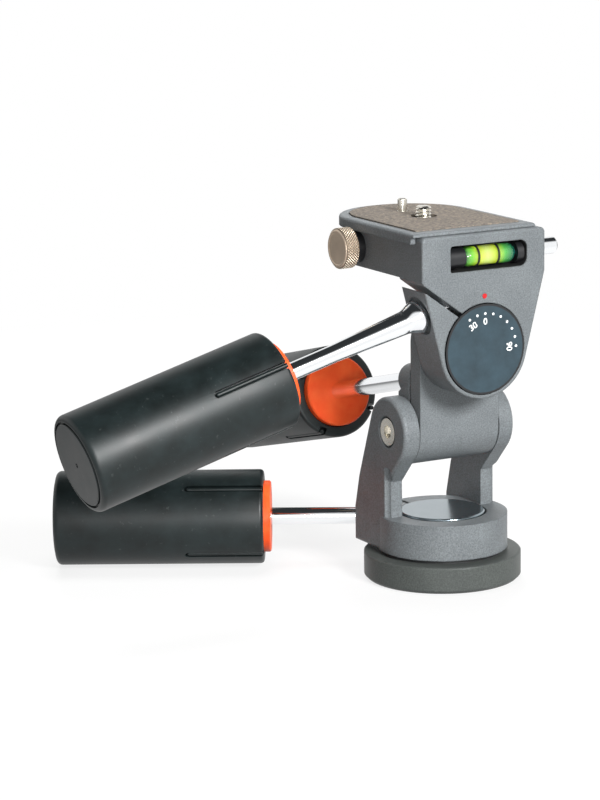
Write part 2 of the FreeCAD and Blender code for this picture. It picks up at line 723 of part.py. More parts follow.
def make_platform():
    outline, hub = shield_block()
    deck = box("deck", (-d["platform_half_width"], -d["shield_front"], d["platform_bottom"]),
               (d["platform_half_width"], d["platform_back"], d["platform_top"]))
    blank = fuse("platform_blank", outline, hub, deck)

    def long_top(edge):
        limits = edge.BoundBox
        return (limits.YLength > 30 and limits.XLength < 0.01
                and abs(limits.ZMax - v["platform_top"]) < 0.01
                and abs(abs(limits.XMin) - v["platform_half_width"]) < 0.01)

    def shield_rim(edge):
        limits = edge.BoundBox
        return (abs(limits.YMin + v["shield_front"]) < 0.01
                and abs(limits.YMax + v["shield_front"]) < 0.01)

    corners = rounded("platform_corners", blank, d["platform_corner"],
                      rear_corner_at(v["platform_back"]))
    sides = rounded("platform_edges", corners, d["platform_edge"], long_top)
    soft = rounded("shield_edges", sides, d["shield_edge"], shield_rim)
    wall = d["platform_wall"]
    half = d["platform_half_width"] - wall
    cavity_block = box("cavity_block", (-half, -11.0, d["platform_bottom"] - TOOL_OVERRUN),
                       (half, d["platform_back"] - wall, d["channel_floor"] - wall - 0.5))
    cavity = rounded("deck_cavity", cavity_block, d["platform_corner"] - wall,
                     rear_corner_at(v["platform_back"] - v["platform_wall"]))
    channel = box("plate_channel",
                  (-d["channel_half_width"], -d["channel_front"], d["channel_floor"]),
                  (d["channel_half_width"], d["platform_back"] + TOOL_OVERRUN,
                   d["platform_top"] + TOOL_OVERRUN))
    drum_bore = cylinder("drum_bore", d["roll_drum_radius"] + SHAFT_GAP, d["shield_front"],
                         (0, -d["shield_front"], d["roll_height"]), REARWARD)
    bezel_seat = cylinder("bezel_seat", d["bezel_radius"] + 0.35,
                          d["bezel_thickness"] - d["dial_stand"] + BORE_GAP + TOOL_OVERRUN,
                          (0, -d["shield_front"] - TOOL_OVERRUN, d["roll_height"]), REARWARD)
    spot = cylinder("spot_face", SPOT_RADIUS, 16.0, ROLL_ROOT, ROLL_WAY)
    bolt_way = cylinder("roll_bolt_way", d["bolt_radius"] + BORE_GAP, ROLL_BOLT_DEPTH + 1.5,
                        along(ROLL_ROOT, ROLL_WAY, -ROLL_BOLT_DEPTH - 0.5), ROLL_WAY)
    nut_seat = cylinder("roll_nut_seat", d["clamp_nut_radius"], d["clamp_nut_length"],
                        along(ROLL_ROOT, ROLL_WAY, ROLL_NUT_AT), ROLL_WAY)
    knob_way = cylinder("knob_way", d["knob_shaft_radius"] + SHAFT_GAP,
                        d["platform_half_width"] - 12.6,
                        (-d["platform_half_width"], d["knob_y"], d["knob_height"]), RIGHT)
    cam_window = box("cam_window",
                     (CAM_WINDOW[0], d["knob_y"] - CAM_WINDOW_REACH, d["platform_bottom"]),
                     (CAM_WINDOW[1], d["knob_y"] + CAM_WINDOW_REACH, d["platform_top"]))
    stem_way = cylinder("stem_way", d["button_stem_radius"] + SHAFT_GAP,
                        d["platform_half_width"] - BUTTON_STEM_END + 4.5,
                        (BUTTON_STEM_END - 4.5, d["button_y"], d["button_height"]), RIGHT)
    spring_way = cylinder("spring_way", d["button_radius"] + BORE_GAP,
                          d["platform_half_width"] - BUTTON_SPRING_END,
                          (BUTTON_SPRING_END, d["button_y"], d["button_height"]), RIGHT)
    index_seat = cylinder("index_seat", d["index_radius"], 0.6,
                          (0, -d["shield_front"], d["index_height"]), REARWARD)
    keep("platform_casting", cut(
        "platform_casting", soft, cavity, channel, drum_bore, bezel_seat, clamp_slit(),
        spot, bolt_way, nut_seat, knob_way, cam_window, stem_way, spring_way,
        index_seat, level_window()))
    keep("index_dot", cylinder("index_dot", d["index_radius"], 0.75,
                               (0, -d["shield_front"] + 0.6, d["index_height"]), -REARWARD))


# Spirit level

LEVEL_CAP_RELIEF = 1.1
BUBBLE_RADIUS = 1.3
BUBBLE_END_GAP = 1.6
BUBBLE_ROOF = 0.2
LEVEL_RING_WIDTH = 0.9
LEVEL_RING_STEP = 0.2


def make_level():
    y, z = -d["vial_depth"], d["window_height"]
    left, right = -d["vial_left"], d["vial_right"]
    inner = d["vial_radius"] - d["vial_wall"]
    keep("vial_tube", ring("vial_tube", d["vial_radius"], inner, right - left,
                           (left, y, z), RIGHT))
    bubble_left = -d["mark_left"] + BUBBLE_END_GAP
    bubble_right = d["mark_right"] - BUBBLE_END_GAP
    bubble, bubble_space = [
        cylinder(name, BUBBLE_RADIUS, bubble_right - bubble_left,
                 (bubble_left, y, z + inner - BUBBLE_RADIUS - BUBBLE_ROOF), RIGHT)
        for name in ("level_bubble", "bubble_space")]
    keep("level_bubble", bubble)
    fluid = cylinder("fluid_blank", inner, right - left, (left, y, z), RIGHT)
    keep("level_fluid", cut("level_fluid", fluid, bubble_space))
    marks = [ring(f"level_mark_{number}", d["vial_radius"] + LEVEL_RING_STEP,
                  d["vial_radius"], LEVEL_RING_WIDTH,
                  (place - LEVEL_RING_WIDTH * 0.5, y, z), RIGHT)
             for number, place in enumerate((-d["mark_left"], d["mark_right"]))]
    keep("level_rings", group("level_rings", marks))
    cap_radius = d["vial_radius"] + LEVEL_RING_STEP
    caps = [cylinder("level_cap_left", cap_radius, d["window_left"] - d["vial_left"],
                     (-d["window_left"], y, z), RIGHT),
            cylinder("level_cap_right", cap_radius,
                     d["window_right"] - d["vial_right"] - LEVEL_CAP_RELIEF,
                     (right, y, z), RIGHT)]
    keep("level_caps", group("level_caps", caps))


# Quick plate with its pad, camera screw and anti-twist pin

SCREW_PLATE_HEAD = 6.7
SCREW_NECK_RADIUS = 2.6
SCREW_HEAD_TOP = 141.0
SCREW_HEAD_BOTTOM = 138.6
PIN_COLLAR_RADIUS = 3.0
PIN_GUIDE_RADIUS = 2.2
PIN_COLLAR_TOP = 143.9
PIN_COLLAR_THICKNESS = 0.9
PIN_SPRING_LENGTH = 3.0
PIN_PLUG_THICKNESS = 1.0


def round_backed(name, low, high, corner):
    """A flat block whose two rear corners are rounded."""
    return rounded(name, box(name + "_block", low, high), corner,
                   rear_corner_at(sized(high[1]).value))


def make_skirt():
    """The rim that wraps the deck along its left side and round its left rear corner."""
    left, back = -d["plate_left"], d["plate_back"]
    front = -d["plate_front"] + 2.0
    thick = d["skirt_thickness"]
    outside = round_backed("skirt_outside", (left, front, d["skirt_bottom"]),
                           (d["plate_right"], back, d["plate_bottom"]), d["plate_corner"])
    inside = round_backed("skirt_inside", (left + thick, front - 5.0, d["skirt_bottom"] - 1.0),
                          (d["plate_right"] - thick, back - thick, d["plate_bottom"] + 1.0),
                          d["plate_corner"] - thick)
    right = box("skirt_right", (d["skirt_end"], front - 5.0, d["skirt_bottom"] - 1.0),
                (d["plate_right"] + 5.0, back + 5.0, d["plate_bottom"] + 1.0))
    return cut("plate_skirt", outside, inside, right)


def make_plate():
    top = d["plate_top"]
    flat = round_backed("plate_flat", (-d["plate_left"], -d["plate_front"], d["plate_bottom"]),
                        (d["plate_right"], d["plate_back"], top), d["plate_corner"])

    def top_rim(edge):
        limits = edge.BoundBox
        return abs(limits.ZMin - v["plate_top"]) < 0.01 and limits.ZLength < 0.01

    shell = rounded("plate_edges", flat, d["plate_edge"], top_rim)
    skirt = make_skirt()
    slack = d["tongue_clearance"]
    half = d["channel_half_width"] - slack
    tongue = box("plate_tongue", (-half, -d["channel_front"] + slack, d["channel_floor"] + slack),
                 (half, d["tongue_back"], d["plate_bottom"]))
    inset = d["pad_inset"]
    pad_low = (-d["plate_left"] + inset, -d["plate_front"] + inset + 1.0, top - d["pad_sink"])
    pad_high = (d["plate_right"] - inset, d["plate_back"] - inset)
    pad_corner = d["plate_corner"] - inset
    seat = round_backed("pad_seat", pad_low, (*pad_high, top + TOOL_OVERRUN), pad_corner)
    x, y = d["camera_screw_x"], d["camera_screw_y"]
    head_space = cylinder("screw_head_space", SCREW_PLATE_HEAD + 0.3, 8.0,
                          (x, y, SCREW_HEAD_TOP + BORE_GAP - 8.0))
    screw_way = cylinder("screw_way", SCREW_NECK_RADIUS + 0.075, 20.0,
                         (x, y, SCREW_HEAD_BOTTOM))
    clip_seat = cylinder("clip_seat", d["camera_recess_radius"], 4.0, (x, y, top - 1.6))
    pin_way = cylinder("pin_way", PIN_GUIDE_RADIUS + SHAFT_GAP, 12.0, (x, d["pin_y"], 140.0))
    pin_room = cylinder("pin_room", PIN_COLLAR_RADIUS + BORE_GAP, 8.0,
                        (x, d["pin_y"], PIN_COLLAR_TOP - 8.0))
    keep("quick_plate", cut("quick_plate", fuse("plate_blank", shell, skirt, tongue), seat,
                            head_space, screw_way, clip_seat, pin_way, pin_room))
    pad_top = top + d["pad_stand"]
    pad = round_backed("pad_blank", pad_low, (*pad_high, pad_top), pad_corner)
    pad_hole = cylinder("pad_hole", d["camera_recess_radius"], 6.0, (x, y, top - 2.0))
    pad_pin_hole = cylinder("pad_pin_hole", PIN_GUIDE_RADIUS + 0.3, 6.0,
                            (x, d["pin_y"], top - 2.0))
    keep("cork_pad", cut("cork_pad", pad, pad_hole, pad_pin_hole))
    keep("screw_clip", ring("screw_clip", 4.9, SCREW_NECK_RADIUS + SHAFT_GAP, 0.5,
                            (x, y, top - 1.6)))
    plug_bottom = d["channel_floor"] + slack
    keep("pin_plug", cylinder("pin_plug", PIN_COLLAR_RADIUS + BORE_GAP, PIN_PLUG_THICKNESS,
                              (x, d["pin_y"], plug_bottom)))


def make_camera_screw():
    x, y = d["camera_screw_x"], d["camera_screw_y"]
    top = d["plate_top"] + d["camera_thread_stand"]
    thread = turned("camera_screw_turning", [
        (0, SCREW_HEAD_BOTTOM), (SCREW_PLATE_HEAD, SCREW_HEAD_BOTTOM),
        (SCREW_PLATE_HEAD, SCREW_HEAD_TOP), (SCREW_NECK_RADIUS, SCREW_HEAD_TOP),
        (SCREW_NECK_RADIUS, d["plate_top"] - 0.6), (d["camera_thread_radius"], d["plate_top"] - 0.6),
        (d["camera_thread_radius"], top - 0.6), (d["camera_thread_radius"] - 0.6, top),
        (0, top),
    ])
    put(thread, (x, y, 0))
    slot = box("coin_slot", (x - 6.0, y - 0.8, SCREW_HEAD_BOTTOM - TOOL_OVERRUN),
               (x + 6.0, y + 0.8, SCREW_HEAD_BOTTOM + 1.3))
    keep("camera_screw", cut("camera_screw", thread, slot))


def make_anti_twist_pin():
    top = d["plate_top"] + d["pin_stand"]
    pin = turned("anti_twist_pin", [
        (0, PIN_COLLAR_TOP - PIN_COLLAR_THICKNESS),
        (PIN_COLLAR_RADIUS, PIN_COLLAR_TOP - PIN_COLLAR_THICKNESS),
        (PIN_COLLAR_RADIUS, PIN_COLLAR_TOP), (PIN_GUIDE_RADIUS, PIN_COLLAR_TOP),
        (PIN_GUIDE_RADIUS, d["plate_top"] + d["pad_stand"]),
        (d["pin_radius"], d["plate_top"] + d["pad_stand"]),
        (d["pin_radius"], top - 0.5), (d["pin_radius"] - 0.5, top), (0, top),
    ])
    put(pin, (d["camera_screw_x"], d["pin_y"], 0))
    keep("anti_twist_pin", pin)


def coil(name, radius, wire_radius, turns, length, start, direction):
    """A compression spring swept along a helix."""
    pitch = length / turns
    helix = Part.makeHelix(pitch, length, radius)
    section = Part.Wire([Part.makeCircle(wire_radius, Vector(radius, 0, 0), Vector(0, 1, 0))])
    spring = doc.addObject("Part::Feature", name)
    spring.Shape = Part.Wire(helix.Edges).makePipeShell([section], True, True)
    spring.Placement = Placement(start, Rotation(UP, direction))
    return spring


# Lock knob on the left and release button on the right

CAM_SHAFT_END = 13.2
CAM_RADIUS = 3.1
CAM_LENGTH = 4.4
CAM_START = -17.8
CAM_THROW = 0.6
KNOB_CHAMFER = 0.8
SPRING_WIRE_RADIUS = 0.28
BUTTON_SPRING_TURNS = 5
BUTTON_SPRING_LENGTH = 4.6
PIN_SPRING_RADIUS = 2.2
PIN_SPRING_TURNS = 3


def make_lock_knob():
    centre = (-d["knob_start"], d["knob_y"], d["knob_height"])
    knob = turned("lock_knob_turning", [
        (0, 0), (d["knob_radius"] - KNOB_CHAMFER, 0), (d["knob_radius"], KNOB_CHAMFER),
        (d["knob_radius"], d["knob_thickness"] - KNOB_CHAMFER),
        (d["knob_radius"] - KNOB_CHAMFER, d["knob_thickness"]), (0, d["knob_thickness"]),
    ])
    put(knob, centre, Rotation(UP, -RIGHT))
    keep("lock_knob", knob)
    shaft = cylinder("cam_shaft_rod", d["knob_shaft_radius"], d["knob_start"] - CAM_SHAFT_END,
                     centre, RIGHT)
    lobe = cylinder("cam_lobe", CAM_RADIUS, CAM_LENGTH,
                    (CAM_START, d["knob_y"], d["knob_height"] + CAM_THROW), RIGHT)
    keep("cam_shaft", fuse("cam_shaft", shaft, lobe))
    keep("knob_collar", ring("knob_collar", d["knob_collar_radius"],
                             d["knob_shaft_radius"] + SHAFT_GAP,
                             d["knob_start"] - d["platform_half_width"] - BORE_GAP,
                             (-d["platform_half_width"], d["knob_y"], d["knob_height"]),
                             -RIGHT))


def make_release_button():
    side = d["platform_half_width"]
    button = turned("release_button", [
        (0, BUTTON_STEM_END), (d["button_stem_radius"], BUTTON_STEM_END),
        (d["button_stem_radius"], side + 1.5), (d["button_radius"], side + 1.5),
        (d["button_radius"], d["button_reach"] - 0.8),
        (d["button_radius"] - 0.8, d["button_reach"]), (0, d["button_reach"]),
    ])
    put(button, (0, d["button_y"], d["button_height"]), Rotation(UP, RIGHT))
    keep("release_button", button)
    keep("button_collar", ring("button_collar", d["button_collar_radius"],
                               d["button_radius"] + SHAFT_GAP, 4.0,
                               (side, d["button_y"], d["button_height"]), RIGHT))
    spring_radius = (v["button_stem_radius"] + v["button_radius"]) / 2 + 0.05
    keep("button_spring", coil(
        "button_spring", spring_radius, SPRING_WIRE_RADIUS, BUTTON_SPRING_TURNS,
        BUTTON_SPRING_LENGTH,
        Vector(BUTTON_SPRING_END + 0.4, v["button_y"], v["button_height"]), RIGHT))
    keep("pin_spring", coil(
        "pin_spring", PIN_SPRING_RADIUS, SPRING_WIRE_RADIUS, PIN_SPRING_TURNS,
        PIN_SPRING_LENGTH,
        Vector(v["camera_screw_x"], v["pin_y"],
               v["channel_floor"] + v["tongue_clearance"] + PIN_PLUG_THICKNESS + 0.35), UP))


# Handles: a chromed rod, an orange plug and a black grip on each

ROD_DEPTH_IN_PLUG = 46.0
FOOT_GAP = 1.3
FLARE_STEP = 1.2
FLARE_END = 42.0
END_DIMPLE_RADIUS = 1.1
END_DIMPLE_DEPTH = 0.6


def make_rod(name, root, way, bolt_depth, mouth, flare):
    """The rod from its threaded end at the clamp to its seat inside the plug."""
    end = mouth + ROD_DEPTH_IN_PLUG
    profile = [(0, -bolt_depth), (d["bolt_radius"] - 0.5, -bolt_depth),
               (d["bolt_radius"], -bolt_depth + 0.5)]
    if flare:
        root_radius = SPOT_RADIUS - FOOT_GAP
        profile += [(d["bolt_radius"], 0.15), (root_radius, 0.15), (root_radius, 2.2),
                    (d["rod_radius"] + FLARE_STEP, 7.0), (d["rod_radius"], FLARE_END)]
    else:
        profile += [(d["bolt_radius"], 0.2), (d["rod_radius"], 0.7)]
    rod = turned(name, profile + [(d["rod_radius"], end), (0, end)])
    rod.Placement = Placement(root, Rotation(UP, way))
    return keep(name, rod)


def make_plug(name, root, way, mouth):
    """The orange plug that joins rod and grip, standing a little out of the mouth."""
    start = -d["plug_stand"]
    plug = turned(name, [
        (d["rod_radius"], start), (d["plug_radius"] - 0.5, start),
        (d["plug_radius"], start + 0.5), (d["plug_radius"], d["plug_flange"]),
        (d["plug_hub_radius"], d["plug_flange"]), (d["plug_hub_radius"], d["plug_depth"]),
        (0, d["plug_depth"]), (0, ROD_DEPTH_IN_PLUG), (d["rod_radius"], ROD_DEPTH_IN_PLUG),
    ])
    plug.Placement = Placement(along(root, way, mouth), Rotation(UP, way))
    return keep(name, plug)


def groove_outline(sketch):
    """An open slot from the mouth, closed by a half circle."""
    half = d["groove_width"] * 0.5
    end = d["groove_length"] - half
    corners = [(-half, end), (-half, -TOOL_OVERRUN), (half, -TOOL_OVERRUN), (half, end)]
    points = [Vector(sized(a).value, sized(b).value, 0) for a, b in corners]
    for start, finish in zip(points, points[1:]):
        sketch.addGeometry(Part.LineSegment(start, finish), False)
    arc = Part.ArcOfCircle(Part.Circle(Vector(0, end.value, 0), UP, half.value), 0, math.pi)
    sketch.addGeometry(arc, False)
    for line in range(2):
        sketch.addConstraint(Sketcher.Constraint("Coincident", line, 2, line + 1, 1))
    sketch.addConstraint(Sketcher.Constraint("Coincident", 2, 2, 3, 1))
    sketch.addConstraint(Sketcher.Constraint("Coincident", 3, 2, 0, 1))
    centre = sketch.addConstraint(Sketcher.Constraint("DistanceY", -1, 1, 3, 3, end.value))
    sketch.setExpression(f"Constraints[{centre}]", end.text)
    for line, corner in enumerate(corners[:3]):
        hold(sketch, line, 1, *corner)
    hold(sketch, 2, 2, *corners[3])


def make_grip(name, root, way, mouth, turn):
    """The black sleeve: closed at its far end, four grooves from its mouth.

    Turn says how far the grooves stand round the rod, in degrees.
    """
    radius, length, wall = d["grip_radius"], d["grip_length"], d["grip_wall"]
    soft = d["grip_round"]
    bevel = 1.0 - math.sqrt(0.5)
    body = turned(name, [
        (d["plug_radius"], 0), (radius - 0.6, 0), (radius, 0.6), (radius, length - soft),
        (radius - soft * bevel, length - soft * bevel), (radius - soft, length),
        (END_DIMPLE_RADIUS, length), (0, length - END_DIMPLE_DEPTH), (0, length - wall),
        (d["plug_radius"] - 2.0, length - wall), (d["plug_radius"], length - wall - 4.0),
    ])
    sketch = body.newObject("Sketcher::SketchObject", name + "_groove_outline")
    sketch.AttachmentSupport = [(origin_part(body, "YZ_Plane"), "")]
    sketch.MapMode = "FlatFace"
    sketch.AttachmentOffset = Placement(Vector(0, 0, v["grip_radius"] - v["groove_depth"]),
                                        Rotation())
    groove_outline(sketch)
    doc.recompute()
    before = body.Shape.Volume
    groove = body.newObject("PartDesign::Pocket", name + "_groove")
    groove.Profile = sketch
    bind(groove, "Length", d["groove_depth"] + TOOL_OVERRUN)
    groove.Reversed = True
    grooves = body.newObject("PartDesign::PolarPattern", name + "_grooves")
    grooves.Originals = [groove]
    grooves.Axis = (origin_part(body, "Z_Axis"), [""])
    grooves.Angle = 360
    grooves.Occurrences = 4
    body.Tip = grooves
    body.Placement = Placement(along(root, way, mouth),
                               Rotation(way, turn) * Rotation(UP, way))
    doc.recompute()
    if not body.Shape.Volume < before - 3 * v["groove_width"] * v["groove_length"]:
        raise RuntimeError(name + ": the grooves cut nothing")
    return keep(name, body)


def make_nut(name, root, way, start, length):
    keep(name, ring(name, d["clamp_nut_radius"], d["bolt_radius"] + d["bolt_gap"], length,
                    along(root, way, start), way))


def make_handles():
    nut = d["clamp_nut_length"]
    make_nut("pan_clamp_nut", PAN_ROOT, PAN_WAY, PAN_NUT_AT, nut)
    make_nut("tilt_clamp_nut", TILT_ROOT, TILT_WAY, TILT_NUT_AT, nut - 2.0)
    make_nut("roll_clamp_nut", ROLL_ROOT, ROLL_WAY, ROLL_NUT_AT, nut)
    shoulder = PAN_BOSS_END + 0.2
    pan_start = along(PAN_ROOT, PAN_WAY, shoulder)
    rows = (
        ("pan_handle", pan_start, PAN_WAY, shoulder + 5.0,
         v["pan_handle_mouth"] - shoulder, 20, False),
        ("tilt_handle", TILT_ROOT, TILT_WAY, TILT_BOLT_DEPTH, v["tilt_handle_mouth"], 28, False),
        ("roll_handle", ROLL_ROOT, ROLL_WAY, ROLL_BOLT_DEPTH, v["roll_handle_mouth"], 28, True),
    )
    for name, root, way, bolt, mouth, turn, flare in rows:
        make_rod(name + "_rod", root, way, bolt, mouth, flare)
        make_plug(name + "_plug", root, way, mouth)
        make_grip(name + "_grip", root, way, mouth, turn)


def write_pieces():
    doc.recompute()
    for item in doc.Objects:
        if "Invalid" in item.State or "Error" in item.State:
            raise RuntimeError(f"{item.Label} failed: {item.State}")
    for node, item in pieces.items():
        if item.Shape.isNull() or not item.Shape.isValid() or not item.Shape.Solids:
            raise RuntimeError(node + " has no sound shape")
    os.makedirs("parts", exist_ok=True)
    for node, item in pieces.items():
        item.Shape.exportStep(f"parts/{node}.step")
        limits = item.Shape.BoundBox
        print(f"{node:22s} {len(item.Shape.Solids)} solids {item.Shape.Volume:10.1f} mm3 "
              f"x {limits.XMin:.1f}..{limits.XMax:.1f} y {limits.YMin:.1f}..{limits.YMax:.1f} "
              f"z {limits.ZMin:.1f}..{limits.ZMax:.1f}")


make_base()
make_yoke()
make_tilt_axle()
roll_threads = make_tilt_body()
make_tilt_bushes()
make_roll_bearing(roll_threads)
make_platform()
make_level()
make_plate()
make_camera_screw()
make_anti_twist_pin()
make_lock_knob()
make_release_button()
make_handles()
write_pieces()
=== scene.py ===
# Looks of a three way pan and tilt head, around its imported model. Lengths are in metres.
import bmesh
import bpy
import json
import math
from mathutils import Matrix, Vector


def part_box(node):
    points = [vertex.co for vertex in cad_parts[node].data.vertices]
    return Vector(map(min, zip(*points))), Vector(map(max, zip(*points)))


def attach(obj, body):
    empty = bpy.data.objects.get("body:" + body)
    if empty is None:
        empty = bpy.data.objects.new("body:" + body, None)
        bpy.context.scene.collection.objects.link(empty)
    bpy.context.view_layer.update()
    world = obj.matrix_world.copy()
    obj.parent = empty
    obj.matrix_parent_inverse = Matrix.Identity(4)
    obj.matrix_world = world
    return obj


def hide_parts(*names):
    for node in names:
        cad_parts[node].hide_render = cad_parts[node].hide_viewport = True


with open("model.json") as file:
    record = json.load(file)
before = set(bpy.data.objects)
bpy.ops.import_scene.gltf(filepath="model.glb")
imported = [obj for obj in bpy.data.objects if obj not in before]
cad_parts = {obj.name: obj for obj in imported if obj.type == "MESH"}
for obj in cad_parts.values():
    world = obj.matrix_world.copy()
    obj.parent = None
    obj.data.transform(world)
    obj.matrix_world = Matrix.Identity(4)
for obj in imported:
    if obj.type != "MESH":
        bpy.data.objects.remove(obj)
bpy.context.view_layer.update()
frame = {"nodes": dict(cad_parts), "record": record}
nodes = frame["nodes"]
MM = 0.001
X_AXIS, Z_AXIS = Vector((1, 0, 0)), Vector((0, 0, 1))

# Places on the object, which several pieces or finishes share
DIAL_CENTRE = Vector((0, -33.0, 98.0)) * MM
KNOB_BACK = Vector((-31.4, 17.0, 134.3)) * MM
CAMERA_SCREW = Vector((-3.6, 7.2, 0)) * MM
PLATE_TOP = 145.3 * MM
LEVEL_CENTRE = Vector((3.3, -28.15, 134.4)) * MM
VIAL_LEFT, VIAL_RIGHT = -8.0 * MM, 15.6 * MM
ROLL_ROOT = Vector((-22.6, -24.0, 112.7)) * MM
ROLL_WAY = Vector((-0.961, 0.02, -0.276)).normalized()
TILT_ROOT = Vector((-11.4, 3.0, 81.0)) * MM
TILT_WAY = Vector((0.008, 0.970, -0.242)).normalized()
PAN_TURN = math.radians(30)
PAN_WAY = Vector((-math.cos(PAN_TURN), math.sin(PAN_TURN), 0))
PAN_ROOT = Vector((math.sin(PAN_TURN), math.cos(PAN_TURN), 0)) * 18.5 * MM + Z_AXIS * 20 * MM

# Each grip: the middle of its mouth, the way that it points, and its turn in degrees
GRIPS = {
    "pan_handle": (PAN_ROOT + PAN_WAY * 72.5 * MM, PAN_WAY, 20),
    "tilt_handle": (TILT_ROOT + TILT_WAY * 66.0 * MM, TILT_WAY, 28),
    "roll_handle": (ROLL_ROOT + ROLL_WAY * 67.7 * MM, ROLL_WAY, 28),
}
GRIP_RADIUS = 19.3 * MM
GRIP_LENGTH = 85.5 * MM
PLUG_RADIUS = 14.65 * MM
MOUTH_CHAMFER = 0.5 * MM


# Finishes

def linear(level):
    """A 0 to 255 display level as a linear number."""
    level = level / 255
    return level / 12.92 if level <= 0.04045 else ((level + 0.055) / 1.055) ** 2.4


def colour(red, green, blue):
    return linear(red), linear(green), linear(blue), 1.0


class Finish:
    """A surface in the making: one shader, and texture nodes that read object coordinates."""

    def __init__(self, name, base, roughness, metallic=0.0):
        self.material = bpy.data.materials.new(name)
        self.material.use_nodes = True
        self.tree = self.material.node_tree
        self.shader = self.tree.nodes["Principled BSDF"]
        self.place = self.add("ShaderNodeTexCoord").outputs["Object"]
        self.set("Base Color", base)
        self.set("Roughness", roughness)
        self.set("Metallic", metallic)

    def add(self, kind, **settings):
        node = self.tree.nodes.new(kind)
        for name, setting in settings.items():
            setattr(node, name, setting)
        return node

    def set(self, socket, number):
        self.shader.inputs[socket].default_value = number

    def link(self, output, node, socket):
        self.tree.links.new(output, node.inputs[socket])

    def noise(self, size, detail=2.0, roughness=0.5):
        """Cloudy variation with features of the given size in metres."""
        node = self.add("ShaderNodeTexNoise")
        node.inputs["Scale"].default_value = 1.0 / size
        node.inputs["Detail"].default_value = detail
        node.inputs["Roughness"].default_value = roughness
        self.link(self.place, node, "Vector")
        return node.outputs["Fac"]

    def cells(self, size, feature="F1"):
        node = self.add("ShaderNodeTexVoronoi", feature=feature)
        node.inputs["Scale"].default_value = 1.0 / size
        self.link(self.place, node, "Vector")
        return node.outputs

    def ramp(self, factor, *stops):
        """Colours at places along a factor, as (place, colour) pairs."""
        node = self.add("ShaderNodeValToRGB")
        line = node.color_ramp.elements
        while len(line) < len(stops):
            line.new(0.5)
        for element, (place, shade) in zip(line, stops):
            element.position = place
            element.color = shade
        self.link(factor, node, "Fac")
        return node.outputs["Color"]

    def mix(self, factor, first, second, blend="MIX"):
        node = self.add("ShaderNodeMix", data_type="RGBA", blend_type=blend)
        for socket, source in ((0, factor), (6, first), (7, second)):
            if isinstance(source, (int, float, tuple)):
                node.inputs[socket].default_value = source
            else:
                self.tree.links.new(source, node.inputs[socket])
        return node.outputs[2]

    def away(self, centre, across, near, far):
        """From 0 to 1 as a point goes from the near to the far distance from an axis."""
        aside = self.add("ShaderNodeVectorMath", operation="SUBTRACT")
        self.link(self.place, aside, 0)
        aside.inputs[1].default_value = centre
        flat = self.add("ShaderNodeVectorMath", operation="MULTIPLY")
        self.link(aside.outputs[0], flat, 0)
        flat.inputs[1].default_value = across
        length = self.add("ShaderNodeVectorMath", operation="LENGTH")
        self.link(flat.outputs[0], length, 0)
        share = self.add("ShaderNodeMapRange")
        share.inputs["From Min"].default_value = near
        share.inputs["From Max"].default_value = far
        self.link(length.outputs["Value"], share, "Value")
        return share.outputs["Result"]

    def spread(self, factor, low, high):
        """A factor from 0 to 1 stretched to run from low to high."""
        node = self.add("ShaderNodeMapRange")
        node.inputs["To Min"].default_value = low
        node.inputs["To Max"].default_value = high
        self.link(factor, node, "Value")
        return node.outputs["Result"]

    def bump(self, height, depth, strength=1.0, after=None):
        node = self.add("ShaderNodeBump")
        node.inputs["Distance"].default_value = depth
        node.inputs["Strength"].default_value = strength
        self.link(height, node, "Height")
        if after is not None:
            self.link(after, node, "Normal")
        self.link(node.outputs["Normal"], self.shader, "Normal")
        return node.outputs["Normal"]

    def paint(self, output):
        self.link(output, self.shader, "Base Color")

    def roughen(self, factor, low, high):
        self.link(self.spread(factor, low, high), self.shader, "Roughness")

    def soft_edge(self, radius):
        """Rounds sharp edges in the shading, as paint and casting do."""
        node = self.add("ShaderNodeBevel", samples=4)
        node.inputs["Radius"].default_value = radius
        return node.outputs["Normal"]


def casting_finish(name, base, fleck, pit):
    """Die casting under a fine powder coat: small flecks, orange peel, softened edges."""
    finish = Finish(name, base, 0.42, 0.05)
    grain = finish.noise(0.55 * MM, 2.0, 0.7)
    body = finish.ramp(grain, (0.30, pit), (0.5, base), (0.72, fleck))
    cloud = finish.ramp(finish.noise(14 * MM, 2.0), (0.3, (0.90, 0.90, 0.90, 1)),
                        (0.7, (1.06, 1.06, 1.05, 1)))
    finish.paint(finish.mix(1.0, body, cloud, "MULTIPLY"))
    finish.roughen(grain, 0.36, 0.55)
    rounding = finish.soft_edge(0.7 * MM)
    finish.bump(finish.noise(0.8 * MM, 2.0), 0.06 * MM, 0.5, rounding)
    finish.set("Specular IOR Level", 0.28)
    return finish.material


def casting_paint():
    return casting_finish("casting_paint", colour(110, 115, 118), colour(126, 132, 136),
                          colour(94, 98, 99))


def cap_paint():
    """The turned cap wears the same paint, rubbed smooth enough to mirror what is above it."""
    finish = Finish("cap_paint", colour(146, 158, 164), 0.2, 0.95)
    finish.roughen(finish.noise(5 * MM, 3.0), 0.15, 0.26)
    finish.bump(finish.noise(0.7 * MM, 2.0), 0.03 * MM, 0.25, finish.soft_edge(0.4 * MM))
    return finish.material


def base_paint():
    """The base disc's paint, darker than the castings above it: the casting paint darkened as
    painted shade for the dimmer light low down.
    """
    return casting_finish("base_paint", colour(76, 80, 78), colour(88, 92, 90),
                          colour(64, 68, 66))


def turned_metal(name, base, roughness, groove=0.22):
    """Machined metal: fine cutting marks and slight uneven polish."""
    finish = Finish(name, base, roughness, 1.0)
    marks = finish.cells(groove * MM)["Distance"]
    finish.roughen(finish.noise(2.5 * MM, 3.0), roughness * 0.75, roughness * 1.3)
    finish.bump(marks, 0.01 * MM, 0.35)
    return finish.material


def chrome():
    """Bright plating with the slight haze of handling."""
    finish = Finish("chrome", colour(244, 246, 248), 0.08, 1.0)
    finish.roughen(finish.noise(9 * MM, 4.0), 0.07, 0.13)
    finish.bump(finish.noise(20 * MM, 1.0), 0.01 * MM, 0.05)
    return finish.material


